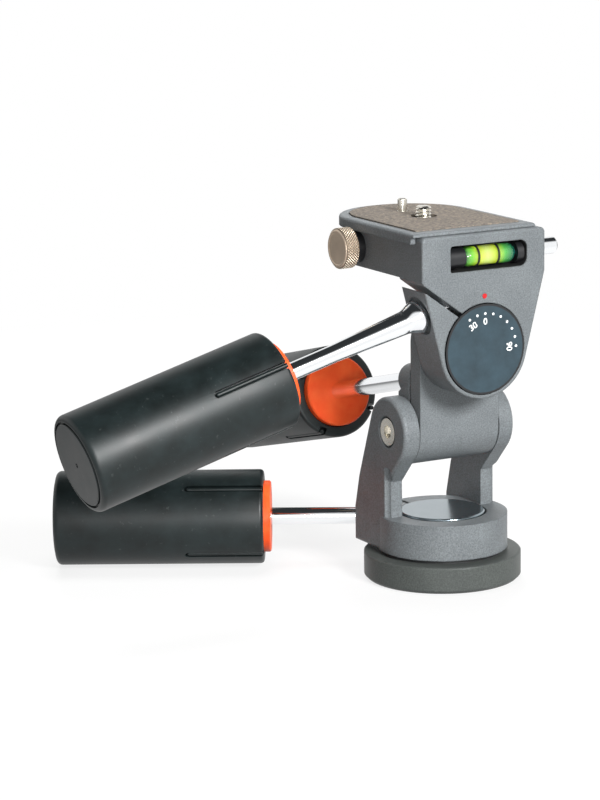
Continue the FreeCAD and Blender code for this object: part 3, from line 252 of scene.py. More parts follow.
def nickel():
    """Warm satin nickel: dull on the flat face, with painted shade down in the knurl valleys and a
    painted highlight on the crests of the knurling.
    """
    finish = Finish("nickel", colour(168, 152, 134), 0.34, 0.7)
    rim = finish.away(KNOB_BACK, (0, 1, 1), 7.0 * MM, 8.3 * MM)
    cloud = finish.noise(6.0 * MM, 3.0)
    # Colour by distance from the knob's axis: a little lighter towards the chamfers, painted shade
    # at the radius of the knurl valleys, painted highlight at the radius of the crests.
    tone = finish.ramp(rim, (0.0, colour(196, 178, 158)), (0.3, colour(206, 188, 168)),
                       (0.55, colour(118, 104, 90)), (0.75, colour(190, 174, 154)),
                       (0.95, colour(255, 246, 230)))
    wear = finish.ramp(cloud, (0.3, (0.9, 0.9, 0.9, 1)), (0.7, (1.05, 1.05, 1.05, 1)))
    finish.paint(finish.mix(1.0, tone, wear, "MULTIPLY"))
    finish.roughen(cloud, 0.34, 0.44)
    finish.bump(finish.noise(0.5 * MM, 2.0), 0.01 * MM, 0.3)
    return finish.material


def moulded_black(name, base, roughness, texture):
    """Black moulding with a fine spark texture and faint handling marks."""
    finish = Finish(name, base, roughness)
    finish.roughen(finish.noise(6 * MM, 3.0), roughness * 0.82, roughness * 1.25)
    finish.bump(finish.noise(texture * MM, 2.0), 0.03 * MM, 0.4)
    return finish.material


def grip_plastic():
    """Black sleeves: spark texture, blotchy handling sheen, and a few pale scuffs."""
    finish = Finish("grip_plastic", colour(28, 36, 36), 0.40)
    blotch = finish.noise(11 * MM, 4.0, 0.6)
    shade = finish.ramp(blotch, (0.32, colour(14, 20, 20)), (0.70, colour(27, 36, 37)))
    scuffs = finish.ramp(finish.noise(2.4 * MM, 5.0, 0.7), (0.62, (0, 0, 0, 1)),
                         (0.78, (0.35, 0.35, 0.35, 1)))
    finish.paint(finish.mix(scuffs, shade, colour(104, 108, 108)))
    finish.roughen(blotch, 0.34, 0.50)
    finish.roughen(blotch, 0.34, 0.50)
    finish.set("Specular IOR Level", 0.33)
    return finish.material


def orange_plastic():
    """The plugs' moulding, which lets a little light in under its skin."""
    finish = Finish("orange_plastic", colour(240, 76, 26), 0.42)
    finish.paint(finish.ramp(finish.noise(5 * MM, 3.0), (0.3, colour(246, 84, 34)),
                             (0.7, colour(254, 102, 48))))
    finish.roughen(finish.noise(3 * MM, 3.0), 0.34, 0.5)
    finish.set("Specular IOR Level", 0.25)
    finish.bump(finish.noise(0.9 * MM, 2.0), 0.03 * MM, 0.4)
    finish.set("Subsurface Weight", 0.15)
    finish.set("Subsurface Scale", 1.5 * MM)
    return finish.material


def cork_rubber():
    """Brown-grey pad of ground cork in rubber."""
    finish = Finish("cork_rubber", colour(116, 108, 99), 0.82)
    chips = finish.cells(0.9 * MM)
    tone = finish.ramp(chips["Color"], (0.1, colour(82, 76, 69)), (0.45, colour(116, 108, 99)),
                       (0.9, colour(152, 138, 122)))
    dust = finish.noise(0.5 * MM, 3.0, 0.7)
    finish.paint(finish.mix(finish.spread(dust, 0.1, 0.6), tone, colour(104, 100, 96)))
    finish.bump(chips["Distance"], 0.12 * MM, 0.6)
    return finish.material


def dial_plastic():
    """Blue-grey moulding with faint clouds."""
    finish = Finish("dial_plastic", colour(44, 57, 66), 0.40)
    finish.paint(finish.ramp(finish.noise(7 * MM, 4.0, 0.6), (0.3, colour(30, 47, 55)),
                             (0.72, colour(44, 64, 74))))
    finish.roughen(finish.noise(4 * MM, 3.0), 0.32, 0.5)
    finish.bump(finish.noise(0.35 * MM, 2.0), 0.02 * MM, 0.4)
    return finish.material


def flat_ink(name, base):
    """Printed or filled paint, slightly uneven."""
    finish = Finish(name, base, 0.45)
    shade = tuple(0.82 * part for part in base[:3]) + (1.0,)
    finish.paint(finish.ramp(finish.noise(0.8 * MM, 3.0), (0.35, shade), (0.6, base)))
    return finish.material


def clear_glass():
    finish = Finish("clear_glass", (1, 1, 1, 1), 0.02)
    finish.set("Transmission Weight", 1.0)
    finish.set("IOR", 1.25)
    finish.bump(finish.noise(8 * MM, 2.0), 0.01 * MM, 0.2)
    return finish.material


def green_fluid():
    """Yellow-green spirit, with painted shade that makes it deeper green towards both ends of the
    tube, and a paler painted highlight a little left of the middle.
    """
    finish = Finish("green_fluid", colour(214, 226, 40), 0.12)
    split = finish.add("ShaderNodeSeparateXYZ")
    finish.link(finish.place, split, "Vector")
    along = finish.add("ShaderNodeMapRange")
    along.inputs["From Min"].default_value = VIAL_LEFT
    along.inputs["From Max"].default_value = VIAL_RIGHT - 1.0 * MM
    finish.link(split.outputs["X"], along, "Value")
    # Colour along the tube: painted shade in deep green at both ends, painted highlight in the
    # paler stop a little left of the middle.
    finish.paint(finish.ramp(along.outputs["Result"], (0.0, colour(28, 96, 70)),
                             (0.14, colour(120, 200, 60)), (0.3, colour(206, 222, 60)),
                             (0.45, colour(212, 230, 130)), (0.62, colour(200, 220, 60)),
                             (0.80, colour(80, 170, 70)),
                             (1.0, colour(20, 92, 84))))
    finish.set("Coat Weight", 0.6)
    finish.set("Coat Roughness", 0.05)
    return finish.material


def bubble_air():
    finish = Finish("bubble", colour(240, 248, 170), 0.08)
    finish.bump(finish.noise(3 * MM, 2.0), 0.02 * MM, 0.3)
    finish.set("Coat Weight", 1.0)
    return finish.material


def window_black():
    """The inside of the level window, dead matt so that the vial stands out."""
    finish = Finish("window_black", colour(12, 13, 14), 0.7)
    finish.roughen(finish.noise(2 * MM, 2.0), 0.6, 0.8)
    finish.bump(finish.noise(0.5 * MM, 2.0), 0.02 * MM, 0.3)
    return finish.material


FINISHES = {
    "casting_paint": casting_paint(),
    "base_paint": base_paint(),
    "cap_paint": cap_paint(),
    "window_black": window_black(),
    "zinc_steel": turned_metal("zinc_steel", colour(190, 190, 184), 0.38),
    "bright_steel": turned_metal("bright_steel", colour(222, 218, 208), 0.24),
    "brass": turned_metal("brass", colour(206, 172, 98), 0.30),
    "nickel": nickel(),
    "chrome": chrome(),
    "black_nylon": moulded_black("black_nylon", colour(26, 27, 28), 0.55, 0.5),
    "black_plastic": moulded_black("black_plastic", colour(24, 25, 27), 0.34, 0.6),
    "dial_plastic": dial_plastic(),
    "red_paint": flat_ink("red_paint", colour(192, 22, 28)),
    "white_ink": flat_ink("white_ink", colour(236, 238, 238)),
    "clear_glass": clear_glass(),
    "green_fluid": green_fluid(),
    "bubble": bubble_air(),
    "cork_rubber": cork_rubber(),
    "orange_plastic": orange_plastic(),
    "grip_plastic": grip_plastic(),
}

# The slot of each node, as the record gives it
SLOT_OF = {row["node"]: row["material_slot"] for row in frame["record"]["subparts"]}


def coat(piece, finish):
    """Gives a piece its finish."""
    piece.data.materials.clear()
    piece.data.materials.append(FINISHES[finish])


def coat_nodes():
    for name, piece in nodes.items():
        coat(piece, SLOT_OF[name])


# Mesh helpers

def new_piece(name, mesh):
    piece = bpy.data.objects.new(name, mesh)
    bpy.context.scene.collection.objects.link(piece)
    return piece


def shade(mesh, angle=35):
    mesh.shade_smooth()
    mesh.set_sharp_from_angle(angle=math.radians(angle))


def smooth_copy(node, body, slot, name=None, angle=28):
    """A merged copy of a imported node, which stands for it: smooth curves, even flat faces."""
    mesh = nodes[node].data.copy()
    work = bmesh.new()
    work.from_mesh(mesh)
    bmesh.ops.remove_doubles(work, verts=work.verts, dist=0.001 * MM)
    bmesh.ops.dissolve_limit(work, angle_limit=math.radians(0.2), verts=work.verts,
                             edges=work.edges, delimit={"NORMAL"})
    work.to_mesh(mesh)
    work.free()
    piece = new_piece(name or node + "_skin", mesh)
    shade(mesh, angle)
    even = piece.modifiers.new("even_faces", "WEIGHTED_NORMAL")
    even.keep_sharp = True
    apply_modifiers(piece)
    finish_piece(piece, body, slot, node)
    return piece


def finish_piece(piece, body, slot, *replaced):
    coat(piece, slot)
    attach(piece, body)
    if replaced:
        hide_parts(*replaced)


def arc(centre, radius, start, end, steps):
    """Profile points on an arc, from one angle to another in degrees."""
    for step in range(steps + 1):
        angle = math.radians(start + (end - start) * step / steps)
        yield (centre[0] + radius * math.cos(angle), centre[1] + radius * math.sin(angle))


def lathe(name, profile, segments, place=Vector(), way=Z_AXIS, turn=0.0, radius_at=None):
    """Turns (radius, height) points about an axis. A zero radius closes with one point."""
    work = bmesh.new()
    rings = []
    for radius, height in profile:
        if radius <= 0:
            rings.append([work.verts.new((0, 0, height))])
            continue
        points = []
        for step in range(segments):
            angle = 2 * math.pi * step / segments
            at = radius_at(radius, angle, height) if radius_at else radius
            points.append(work.verts.new((at * math.cos(angle), at * math.sin(angle), height)))
        rings.append(points)
    for lower, upper in zip(rings, rings[1:]):
        for step in range(segments):
            after = (step + 1) % segments
            corners = [lower[step % len(lower)], lower[after % len(lower)],
                       upper[after % len(upper)], upper[step % len(upper)]]
            corners = list(dict.fromkeys(corners))
            if len(corners) > 2:
                work.faces.new(corners)
    bmesh.ops.recalc_face_normals(work, faces=work.faces)
    mesh = bpy.data.meshes.new(name)
    work.to_mesh(mesh)
    work.free()
    mesh.transform(Matrix.Rotation(turn, 4, "Z"))
    mesh.transform(Matrix.Translation(place) @ Z_AXIS.rotation_difference(way).to_matrix().to_4x4())
    shade(mesh)
    return new_piece(name, mesh)


def thread_form(pitch, depth):
    """A radius that follows one turn of a sharp thread for each pitch of height."""
    def radius_at(radius, angle, height):
        phase = (height / pitch - angle / (2 * math.pi)) % 1.0
        return radius - depth * abs(2 * phase - 1)
    return radius_at


def apply_modifiers(piece):
    """Replaces a piece's mesh with its evaluated form and drops its modifiers."""
    bpy.context.view_layer.update()
    graph = bpy.context.evaluated_depsgraph_get()
    mesh = bpy.data.meshes.new_from_object(piece.evaluated_get(graph))
    piece.modifiers.clear()
    piece.data = mesh
    return piece


# Geometry node trees for what repeats

class Growth:
    """A node tree for a modifier, with named number inputs."""

    def __init__(self, name, **inputs):
        self.tree = bpy.data.node_groups.new(name, "GeometryNodeTree")
        self.sockets = {}
        face = self.tree.interface
        face.new_socket("Geometry", in_out="OUTPUT", socket_type="NodeSocketGeometry")
        for label, kind in inputs.items():
            self.sockets[label] = face.new_socket(label, in_out="INPUT", socket_type=kind)
        self.given = self.tree.nodes.new("NodeGroupInput").outputs
        self.end = self.tree.nodes.new("NodeGroupOutput")

    def add(self, kind, settings=None, **sources):
        node = self.tree.nodes.new(kind)
        for name, setting in (settings or {}).items():
            setattr(node, name, setting)
        for socket, source in sources.items():
            self.join(source, node.inputs[socket.replace("_", " ")])
        return node

    def join(self, source, target):
        if isinstance(source, bpy.types.NodeSocket):
            self.tree.links.new(source, target)
        else:
            target.default_value = source

    def math(self, operation, *sources):
        node = self.tree.nodes.new("ShaderNodeMath")
        node.operation = operation
        for source, target in zip(sources, node.inputs):
            self.join(source, target)
        return node.outputs[0]

    def close(self, geometry, material):
        """Ends the tree: instances made real, then the finish."""
        real = self.add("GeometryNodeRealizeInstances", Geometry=geometry)
        painted = self.add("GeometryNodeSetMaterial", Geometry=real.outputs[0])
        painted.inputs["Material"].default_value = material
        self.join(painted.outputs[0], self.end.inputs[0])

    def grow(self, name, **numbers):
        """Runs the tree once and returns the result as a plain mesh piece."""
        piece = new_piece(name, bpy.data.meshes.new(name))
        modifier = piece.modifiers.new(name, "NODES")
        modifier.node_group = self.tree
        for label, number in numbers.items():
            modifier[self.sockets[label].identifier] = number
        return apply_modifiers(piece)


NUMBER, COUNT = "NodeSocketFloat", "NodeSocketInt"


def arc_of_discs(slot):
    """Small round dots along an arc, standing a little proud of the XY plane."""
    growth = Growth("arc_of_discs", Radius=NUMBER, First=NUMBER, Sweep=NUMBER, Count=COUNT,
                    Dot=NUMBER, Stand=NUMBER)
    given = growth.given
    line = growth.add("GeometryNodeCurveArc", {"mode": "RADIUS"}, Resolution=given["Count"],
                      Radius=given["Radius"], Start_Angle=given["First"],
                      Sweep_Angle=given["Sweep"])
    points = growth.add("GeometryNodeCurveToPoints", {"mode": "EVALUATED"},
                        Curve=line.outputs["Curve"])
    disc = growth.add("GeometryNodeMeshCylinder", Vertices=20, Radius=given["Dot"],
                      Depth=given["Stand"])
    placed = growth.add("GeometryNodeInstanceOnPoints", Points=points.outputs["Points"],
                        Instance=disc.outputs["Mesh"])
    growth.close(placed.outputs[0], FINISHES[slot])
    return growth


def knurled_rim(slot):
    """A band of diamond knurling: a cylinder whose skin follows two crossed sets of ridges."""
    growth = Growth("knurled_rim", Radius=NUMBER, Width=NUMBER, Ridges=NUMBER, Depth=NUMBER,
                    Around=COUNT, Along=COUNT)
    given = growth.given
    band = growth.add("GeometryNodeMeshCylinder", {"fill_type": "NONE"},
                      Vertices=given["Around"], Side_Segments=given["Along"],
                      Radius=given["Radius"], Depth=given["Width"])
    place = growth.add("GeometryNodeInputPosition").outputs[0]
    split = growth.add("ShaderNodeSeparateXYZ", Vector=place).outputs
    angle = growth.math("ARCTAN2", split["Y"], split["X"])
    around = growth.math("MULTIPLY", angle, growth.math("DIVIDE", given["Ridges"], 2 * math.pi))
    pitch = growth.math("DIVIDE", growth.math("MULTIPLY", given["Radius"], 2 * math.pi),
                        given["Ridges"])
    along = growth.math("DIVIDE", split["Z"], pitch)
    ridge = 1.0
    for operation in ("ADD", "SUBTRACT"):
        wave = growth.math("PINGPONG", growth.math(operation, around, along), 0.5)
        ridge = growth.math("MULTIPLY", ridge, growth.math("MULTIPLY", wave, 2.0))
    scale = growth.math("SUBTRACT", 1.0, growth.math(
        "DIVIDE", growth.math("MULTIPLY", given["Depth"], growth.math("SUBTRACT", 1.0, ridge)),
        given["Radius"]))
    flat = growth.add("ShaderNodeCombineXYZ")
    growth.join(growth.math("MULTIPLY", split["X"], scale), flat.inputs["X"])
    growth.join(growth.math("MULTIPLY", split["Y"], scale), flat.inputs["Y"])
    growth.join(split["Z"], flat.inputs["Z"])
    moved = growth.add("GeometryNodeSetPosition", Geometry=band.outputs["Mesh"],
                       Position=flat.outputs[0])
    growth.close(moved.outputs[0], FINISHES[slot])
    return growth


# Pieces

def join_pieces(name, *parts):
    """One piece from several, with touching points merged."""
    work = bmesh.new()
    for part in parts:
        work.from_mesh(part.data)
        bpy.data.objects.remove(part)
    bmesh.ops.remove_doubles(work, verts=work.verts, dist=0.002 * MM)
    mesh = bpy.data.meshes.new(name)
    work.to_mesh(mesh)
    work.free()
    shade(mesh)
    return new_piece(name, mesh)


def make_lock_knob():
    """The nickel knob: turned faces with a dished middle and a diamond-knurled rim."""
    radius, width, chamfer, knurl, dish = 8.3 * MM, 6.4 * MM, 0.7 * MM, 0.55 * MM, 0.15 * MM
    around, turned = 352, 104
    rim = knurled_rim("nickel").grow("knob_rim", Radius=radius, Width=width - 2 * chamfer,
                                     Ridges=44.0, Depth=knurl, Around=around, Along=34)
    rim.data.transform(Matrix.Translation(Z_AXIS * width / 2))
    flank = radius - knurl
    back = lathe("knob_back", [(0, 0), (flank - chamfer, 0), (flank, chamfer)], turned)
    front = lathe("knob_front", [
        (flank, width - chamfer), (flank - 0.5 * chamfer, width - 0.25 * chamfer),
        (flank - 1.2 * chamfer, width), (flank - 1.9 * chamfer, width - dish / 3),
        (flank - 2.1 * chamfer, width - dish), (0, width - dish)], turned)
    seams = [lathe(f"knob_seam_{number}", [(flank, height), (radius - 0.2 * MM, height)], around)
             for number, height in enumerate((chamfer, width - chamfer))]
    knob = join_pieces("knurled_knob", rim, back, front, *seams)
    knob.data.transform(Matrix.Translation(KNOB_BACK)
                        @ Z_AXIS.rotation_difference(-X_AXIS).to_matrix().to_4x4())
    finish_piece(knob, "lock", "nickel", "lock_knob")


def make_dial_print():
    """Nine dots, one each 15 degrees from -30 to 90, and the numbers 30, 0 and 90."""
    dot_circle, number_circle, number_height, ink = 14.1 * MM, 10.9 * MM, 3.6 * MM, 0.08 * MM
    face = Matrix.Translation(DIAL_CENTRE) @ Matrix.Rotation(math.radians(90), 4, "X")
    dots = arc_of_discs("white_ink").grow(
        "dial_dots", Radius=dot_circle, First=math.radians(120), Sweep=math.radians(-120),
        Count=9, Dot=0.55 * MM, Stand=ink)
    dots.data.transform(face)
    finish_piece(dots, "tilt_head", "white_ink")
    for words, degrees in (("30", 30), ("0", 0), ("90", -90)):
        letters = bpy.data.curves.new("dial_" + words, "FONT")
        letters.body = words
        letters.size = number_height
        letters.align_x = "CENTER"
        letters.align_y = "CENTER"
        letters.extrude = 0.03 * MM
        letters.offset = ink
        number = new_piece("dial_number_" + words, letters)
        number.data.materials.append(FINISHES["white_ink"])
        mesh = bpy.data.meshes.new_from_object(number)
        bpy.data.objects.remove(number)
        mesh.transform(face @ Matrix.Rotation(math.radians(degrees), 4, "Z")
                       @ Matrix.Translation((0, number_circle, 0)))
        finish_piece(new_piece("dial_number_" + words, mesh), "tilt_head", "white_ink")


def make_camera_screw():
    """The quarter inch screw: a threaded stud, and a neck and round head under the plate."""
    pitch, depth, radius, neck = 1.27 * MM, 0.62 * MM, 3.175 * MM, 2.6 * MM
    start, top, tip = PLATE_TOP - 0.6 * MM, PLATE_TOP + 4.6 * MM, 0.5 * MM
    steps = 44
    thread = [(radius, start + (top - tip - start) * step / steps) for step in range(steps + 1)]
    stud = lathe("stud", [(neck - 0.3 * MM, start)] + thread + [(2.5 * MM, top), (0, top)], 48,
                 CAMERA_SCREW, radius_at=thread_form(pitch, depth))
    low, high, head, chamfer = 138.6 * MM, 141.0 * MM, 6.7 * MM, 0.4 * MM
    base = lathe("head", [(0, low), (head - chamfer, low), (head, low + chamfer), (head, high),
                          (neck, high), (neck, start), (neck - 0.3 * MM, start)],
                 64, CAMERA_SCREW)
    screw = join_pieces("threaded_camera_screw", stud, base)
    finish_piece(screw, "camera_screw", "bright_steel", "camera_screw")


def make_tripod_bush():
    """The brass bush in the base, with its tripod thread cut inside."""
    pitch, depth, bore, mouth = 1.5875 * MM, 0.58 * MM, 4.55 * MM, 4.7 * MM
    lead_in, deep, tall, outer = 0.3 * MM, 8.6 * MM, 9.2 * MM, 7.0 * MM
    steps = 70
    thread = [(bore, lead_in + (deep - lead_in) * step / steps) for step in range(steps + 1)]
    wall = lathe("bush_bore", [(mouth, 0)] + thread + [(0, deep)], 48,
                 radius_at=thread_form(pitch, depth))
    outside = lathe("bush_outside", [(mouth, 0), (outer, 0), (outer, tall), (0, tall)], 64)
    bush = join_pieces("threaded_bush", wall, outside)
    finish_piece(bush, "base", "brass", "tripod_bush")


def make_bubble():
    """The air bubble, a long bead lying against the top of the fluid."""
    low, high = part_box("level_bubble")
    half = (high.x - low.x) / 2
    bubble = capsule("air_bubble", 1.3 * MM, -half, half, 32, (low + high) / 2, X_AXIS)
    finish_piece(bubble, "platform", "bubble", "level_bubble")


def capsule(name, radius, start, end, segments, place, way):
    """A round-ended bar along a way, from one end height to the other."""
    profile = list(arc((0, start + radius), radius, -90, 0, 10))
    profile += list(arc((0, end - radius), radius, 0, 90, 10))
    profile[0] = (0, start)
    profile[-1] = (0, end)
    return lathe(name, profile, segments, place, way)


def make_vial():
    """The round-ended vial and its fluid, between the two end caps."""
    glass_radius, fluid_radius = 3.9 * MM, 3.45 * MM
    centre = Vector((0, LEVEL_CENTRE.y, LEVEL_CENTRE.z))
    glass = capsule("vial_glass", glass_radius, VIAL_LEFT - 1.0 * MM, VIAL_RIGHT + 0.5 * MM, 64,
                    centre, X_AXIS)
    finish_piece(glass, "platform", "clear_glass", "vial_tube")
    fluid = capsule("vial_fluid", fluid_radius, VIAL_LEFT - 0.5 * MM, VIAL_RIGHT, 64, centre,
                    X_AXIS)
    finish_piece(fluid, "platform", "green_fluid", "level_fluid")


def make_window_liner():
    """The black holder that lines the level window: walls and back in one shell."""
    left, right, half = -15.3 * MM, 19.5 * MM, 5.1 * MM
    middle = LEVEL_CENTRE.z
    front, back = -31.9 * MM, -24.05 * MM
    outline = []
    for x, side, radius, start in ((left, -1, 0.9 * MM, 180), (right, -1, 3.1 * MM, 270),
                                   (right, 1, 3.1 * MM, 0), (left, 1, 0.9 * MM, 90)):
        inward = radius if x == left else -radius
        outline += arc((x + inward, middle + side * (half - radius)), radius, start, start + 90, 8)
    work = bmesh.new()
    outer = [work.verts.new((x, front, z)) for x, z in outline]
    inner = [work.verts.new((x, back, z)) for x, z in outline]
    work.faces.new(reversed(inner))
    for step in range(len(outline)):
        after = (step + 1) % len(outline)
        work.faces.new((outer[step], outer[after], inner[after], inner[step]))
    bmesh.ops.recalc_face_normals(work, faces=work.faces)
    bmesh.ops.reverse_faces(work, faces=work.faces)
    mesh = bpy.data.meshes.new("window_liner")
    work.to_mesh(mesh)
    work.free()
    liner = new_piece("window_liner", mesh)
    wall = liner.modifiers.new("wall", "SOLIDIFY")
    wall.thickness = 0.08 * MM
    wall.offset = 0.0
    apply_modifiers(liner)
    shade(liner.data)
    finish_piece(liner, "platform", "window_black")


def make_roll_rod():
    """The chromed roll rod, with its domed and flared foot on the clamp lug."""
    bolt, rod, foot = 3.0 * MM, 3.5 * MM, 6.5 * MM
    dome, start, end = 3.0 * MM, 0.15 * MM, 113.7 * MM
    bolt_end, bolt_chamfer = -19.3 * MM, 0.5 * MM
    profile = [(0, bolt_end), (bolt - bolt_chamfer, bolt_end), (bolt, bolt_end + bolt_chamfer),
               (bolt, start)]
    profile += arc((foot - dome, start + dome), dome, -88, 0, 8)
    neck, neck_at, taper_end = 4.6 * MM, 9.5 * MM, 42.0 * MM
    for step in range(1, 13):
        part = step / 12
        ease = part * part * (3 - 2 * part)
        profile.append((foot + (neck - foot) * ease,
                        start + dome + (neck_at - start - dome) * part))
    profile += [(rod, taper_end), (rod, end), (0, end)]
    piece = lathe("roll_rod", profile, 64, ROLL_ROOT, ROLL_WAY)
    finish_piece(piece, "roll_handle", "chrome", "roll_handle_rod")


def make_pad():
    """The pad, a little smaller than its seat so that a dark line runs round it."""
    gap = 0.35 * MM
    pad = smooth_copy("cork_pad", "plate", "cork_rubber", "cork_sheet")
    low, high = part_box("cork_pad")
    middle = (low + high) / 2
    size = high - low
    shrink = Matrix.Diagonal((1 - 2 * gap / size.x, 1 - 2 * gap / size.y, 1, 1))
    pad.data.transform(Matrix.Translation(middle) @ shrink @ Matrix.Translation(-middle))


def grip_profile():
    """Sleeve outline from the mouth to the closed end, with a ring groove near its edge."""
    fillet, lip, ledge = 2.2 * MM, 1.5 * MM, GRIP_LENGTH - 0.3 * MM
    points = [(PLUG_RADIUS, MOUTH_CHAMFER), (PLUG_RADIUS + MOUTH_CHAMFER, 0)]
    points += arc((GRIP_RADIUS - lip, lip), lip, -90, 0, 5)
    points += [(GRIP_RADIUS, GRIP_LENGTH * step / 6) for step in range(1, 6)]
    points += arc((GRIP_RADIUS - fillet, ledge - fillet), fillet, 0, 80, 8)
    rim = GRIP_RADIUS - fillet
    groove, groove_floor = rim - 0.9 * MM, ledge - 1.2 * MM
    points += [(rim, ledge), (rim - 0.1 * MM, groove_floor), (groove, groove_floor),
               (groove, ledge), (rim - 1.2 * MM, GRIP_LENGTH)]
    dimple, dimple_floor = 0.9 * MM, GRIP_LENGTH - 0.9 * MM
    points += [(dimple, GRIP_LENGTH), (dimple - 0.2 * MM, dimple_floor + 0.1 * MM),
               (0, dimple_floor)]
    return points


def inner_profile():
    """The hollow of the sleeve, from its tapered floor back to the mouth."""
    end = GRIP_LENGTH - 4.3 * MM
    return [(0, end), (PLUG_RADIUS - 2 * MM, end), (PLUG_RADIUS, end - 4 * MM),
            (PLUG_RADIUS, MOUTH_CHAMFER)]


def groove_cutter(name):
    """Four long slots with round inner ends, as one cutting shape."""
    half, reach = 1.5 * MM, 32.0 * MM
    floor, outer = GRIP_RADIUS - 3.0 * MM, GRIP_RADIUS + 2 * MM
    outline = [(-half, -3 * MM), (half, -3 * MM)]
    outline += [(x, reach - half + y) for x, y in arc((0, 0), half, 0, 180, 10)]
    work = bmesh.new()
    for quarter in range(4):
        turn = Matrix.Rotation(math.radians(90 * quarter), 4, "Z")
        low = [work.verts.new(turn @ Vector((floor, x, z))) for x, z in outline]
        high = [work.verts.new(turn @ Vector((outer, x, z))) for x, z in outline]
        work.faces.new(reversed(low))
        work.faces.new(high)
        for step in range(len(outline)):
            after = (step + 1) % len(outline)
            work.faces.new((low[step], low[after], high[after], high[step]))
    bmesh.ops.recalc_face_normals(work, faces=work.faces)
    mesh = bpy.data.meshes.new(name)
    work.to_mesh(mesh)
    work.free()
    return new_piece(name, mesh)


def rib_in_groove(name, quarter):
    """The raised bead that runs along the floor of a groove."""
    radius, reach = 0.9 * MM, 31.2 * MM
    floor = GRIP_RADIUS - 0.9 * MM
    profile = [(0, 0.4 * MM), (radius, 0.4 * MM), (radius, reach - radius)]
    profile += list(arc((0, reach - radius), radius, 10, 80, 4)) + [(0, reach)]
    bead = lathe(name, profile, 16)
    turn = Matrix.Rotation(math.radians(90 * quarter), 4, "Z")
    bead.data.transform(turn @ Matrix.Translation((floor, 0, 0)))
    return bead


def make_grip(handle):
    """A hollow sleeve with four slots cut from its mouth and a bead along each slot."""
    mouth, way, turn = GRIPS[handle]
    profile = grip_profile() + inner_profile()
    sleeve = lathe(handle + "_sleeve", profile, 96)
    cutter = groove_cutter(handle + "_cutter")
    carve = sleeve.modifiers.new("grooves", "BOOLEAN")
    carve.object = cutter
    carve.operation = "DIFFERENCE"
    carve.solver = "EXACT"
    apply_modifiers(sleeve)
    bpy.data.objects.remove(cutter)
    work = bmesh.new()
    work.from_mesh(sleeve.data)
    for quarter in range(4):
        bead = rib_in_groove(f"bead_{quarter}", quarter)
        work.from_mesh(bead.data)
        bpy.data.objects.remove(bead)
    work.to_mesh(sleeve.data)
    work.free()
    facing = Matrix.Rotation(math.radians(turn), 4, way)
    facing = facing @ Z_AXIS.rotation_difference(way).to_matrix().to_4x4()
    sleeve.data.transform(Matrix.Translation(mouth) @ facing)
    shade(sleeve.data, 32)
    finish_piece(sleeve, handle, "grip_plastic", handle + "_grip")


def make_pieces():
    coat_nodes()
    for body, members in frame["record"]["behaviour"]["bodies"].items():
        for node in members:
            if node not in REMADE:
                finish = "cap_paint" if node == "pan_spindle" else SLOT_OF[node]
                smooth_copy(node, body, finish)
    make_lock_knob()
    make_dial_print()
    make_camera_screw()
    make_tripod_bush()
    make_bubble()
    make_vial()
    make_window_liner()
    make_roll_rod()
    make_pad()
    for handle in GRIPS:
        make_grip(handle)


REMADE = ("lock_knob", "camera_screw", "tripod_bush", "level_bubble", "vial_tube",
          "level_fluid", "roll_handle_rod", "cork_pad",
          "pan_handle_grip", "tilt_handle_grip", "roll_handle_grip")


# Floor, light and camera

def make_floor():
    """A white floor with a soft shadow. Metal mirrors it white in front and darker behind."""
    mirror_front, mirror_back, shadow_near, shadow_far = 0.05, 0.30, 0.20, 0.60
    bpy.ops.mesh.primitive_plane_add(size=6, location=(0, 0, -0.3 * MM))
    floor = bpy.context.object
    floor.name = "studio_floor"
    material = bpy.data.materials.new("studio_floor")
    material.use_nodes = True
    tree = material.node_tree
    tree.nodes.clear()
    path = tree.nodes.new("ShaderNodeLightPath")
    place = tree.nodes.new("ShaderNodeTexCoord")
    split = tree.nodes.new("ShaderNodeSeparateXYZ")
    tree.links.new(place.outputs["Object"], split.inputs[0])
    rear = tree.nodes.new("ShaderNodeMapRange")
    rear.inputs["From Min"].default_value = mirror_front
    rear.inputs["From Max"].default_value = mirror_back
    rear.inputs["To Min"].default_value = 1.0
    rear.inputs["To Max"].default_value = 0.25
    tree.links.new(split.outputs["Y"], rear.inputs["Value"])
    mirrored = tree.nodes.new("ShaderNodeMath")
    mirrored.operation = "MULTIPLY"
    tree.links.new(path.outputs["Is Glossy Ray"], mirrored.inputs[0])
    tree.links.new(rear.outputs["Result"], mirrored.inputs[1])
    seen = tree.nodes.new("ShaderNodeMath")
    seen.operation = "MAXIMUM"
    tree.links.new(path.outputs["Is Camera Ray"], seen.inputs[0])
    tree.links.new(mirrored.outputs[0], seen.inputs[1])
    plain = tree.nodes.new("ShaderNodeBsdfDiffuse")
    plain.inputs["Color"].default_value = (0.85, 0.85, 0.85, 1)
    glow = tree.nodes.new("ShaderNodeEmission")
    glow.inputs["Color"].default_value = (1, 1, 1, 1)
    tree.links.new(seen.outputs[0], glow.inputs["Strength"])
    faded = tree.nodes.new("ShaderNodeMixShader")
    reach = tree.nodes.new("ShaderNodeVectorMath")
    reach.operation = "LENGTH"
    tree.links.new(place.outputs["Object"], reach.inputs[0])
    share = tree.nodes.new("ShaderNodeMapRange")
    share.inputs["From Min"].default_value = shadow_near
    share.inputs["From Max"].default_value = shadow_far
    share.inputs["To Min"].default_value = 0.78
    share.inputs["To Max"].default_value = 1.0
    tree.links.new(reach.outputs["Value"], share.inputs["Value"])
    tree.links.new(share.outputs["Result"], faded.inputs[0])
    tree.links.new(plain.outputs[0], faded.inputs[1])
    tree.links.new(glow.outputs[0], faded.inputs[2])
    end = tree.nodes.new("ShaderNodeOutputMaterial")
    tree.links.new(faded.outputs[0], end.inputs["Surface"])
    floor.data.materials.append(material)


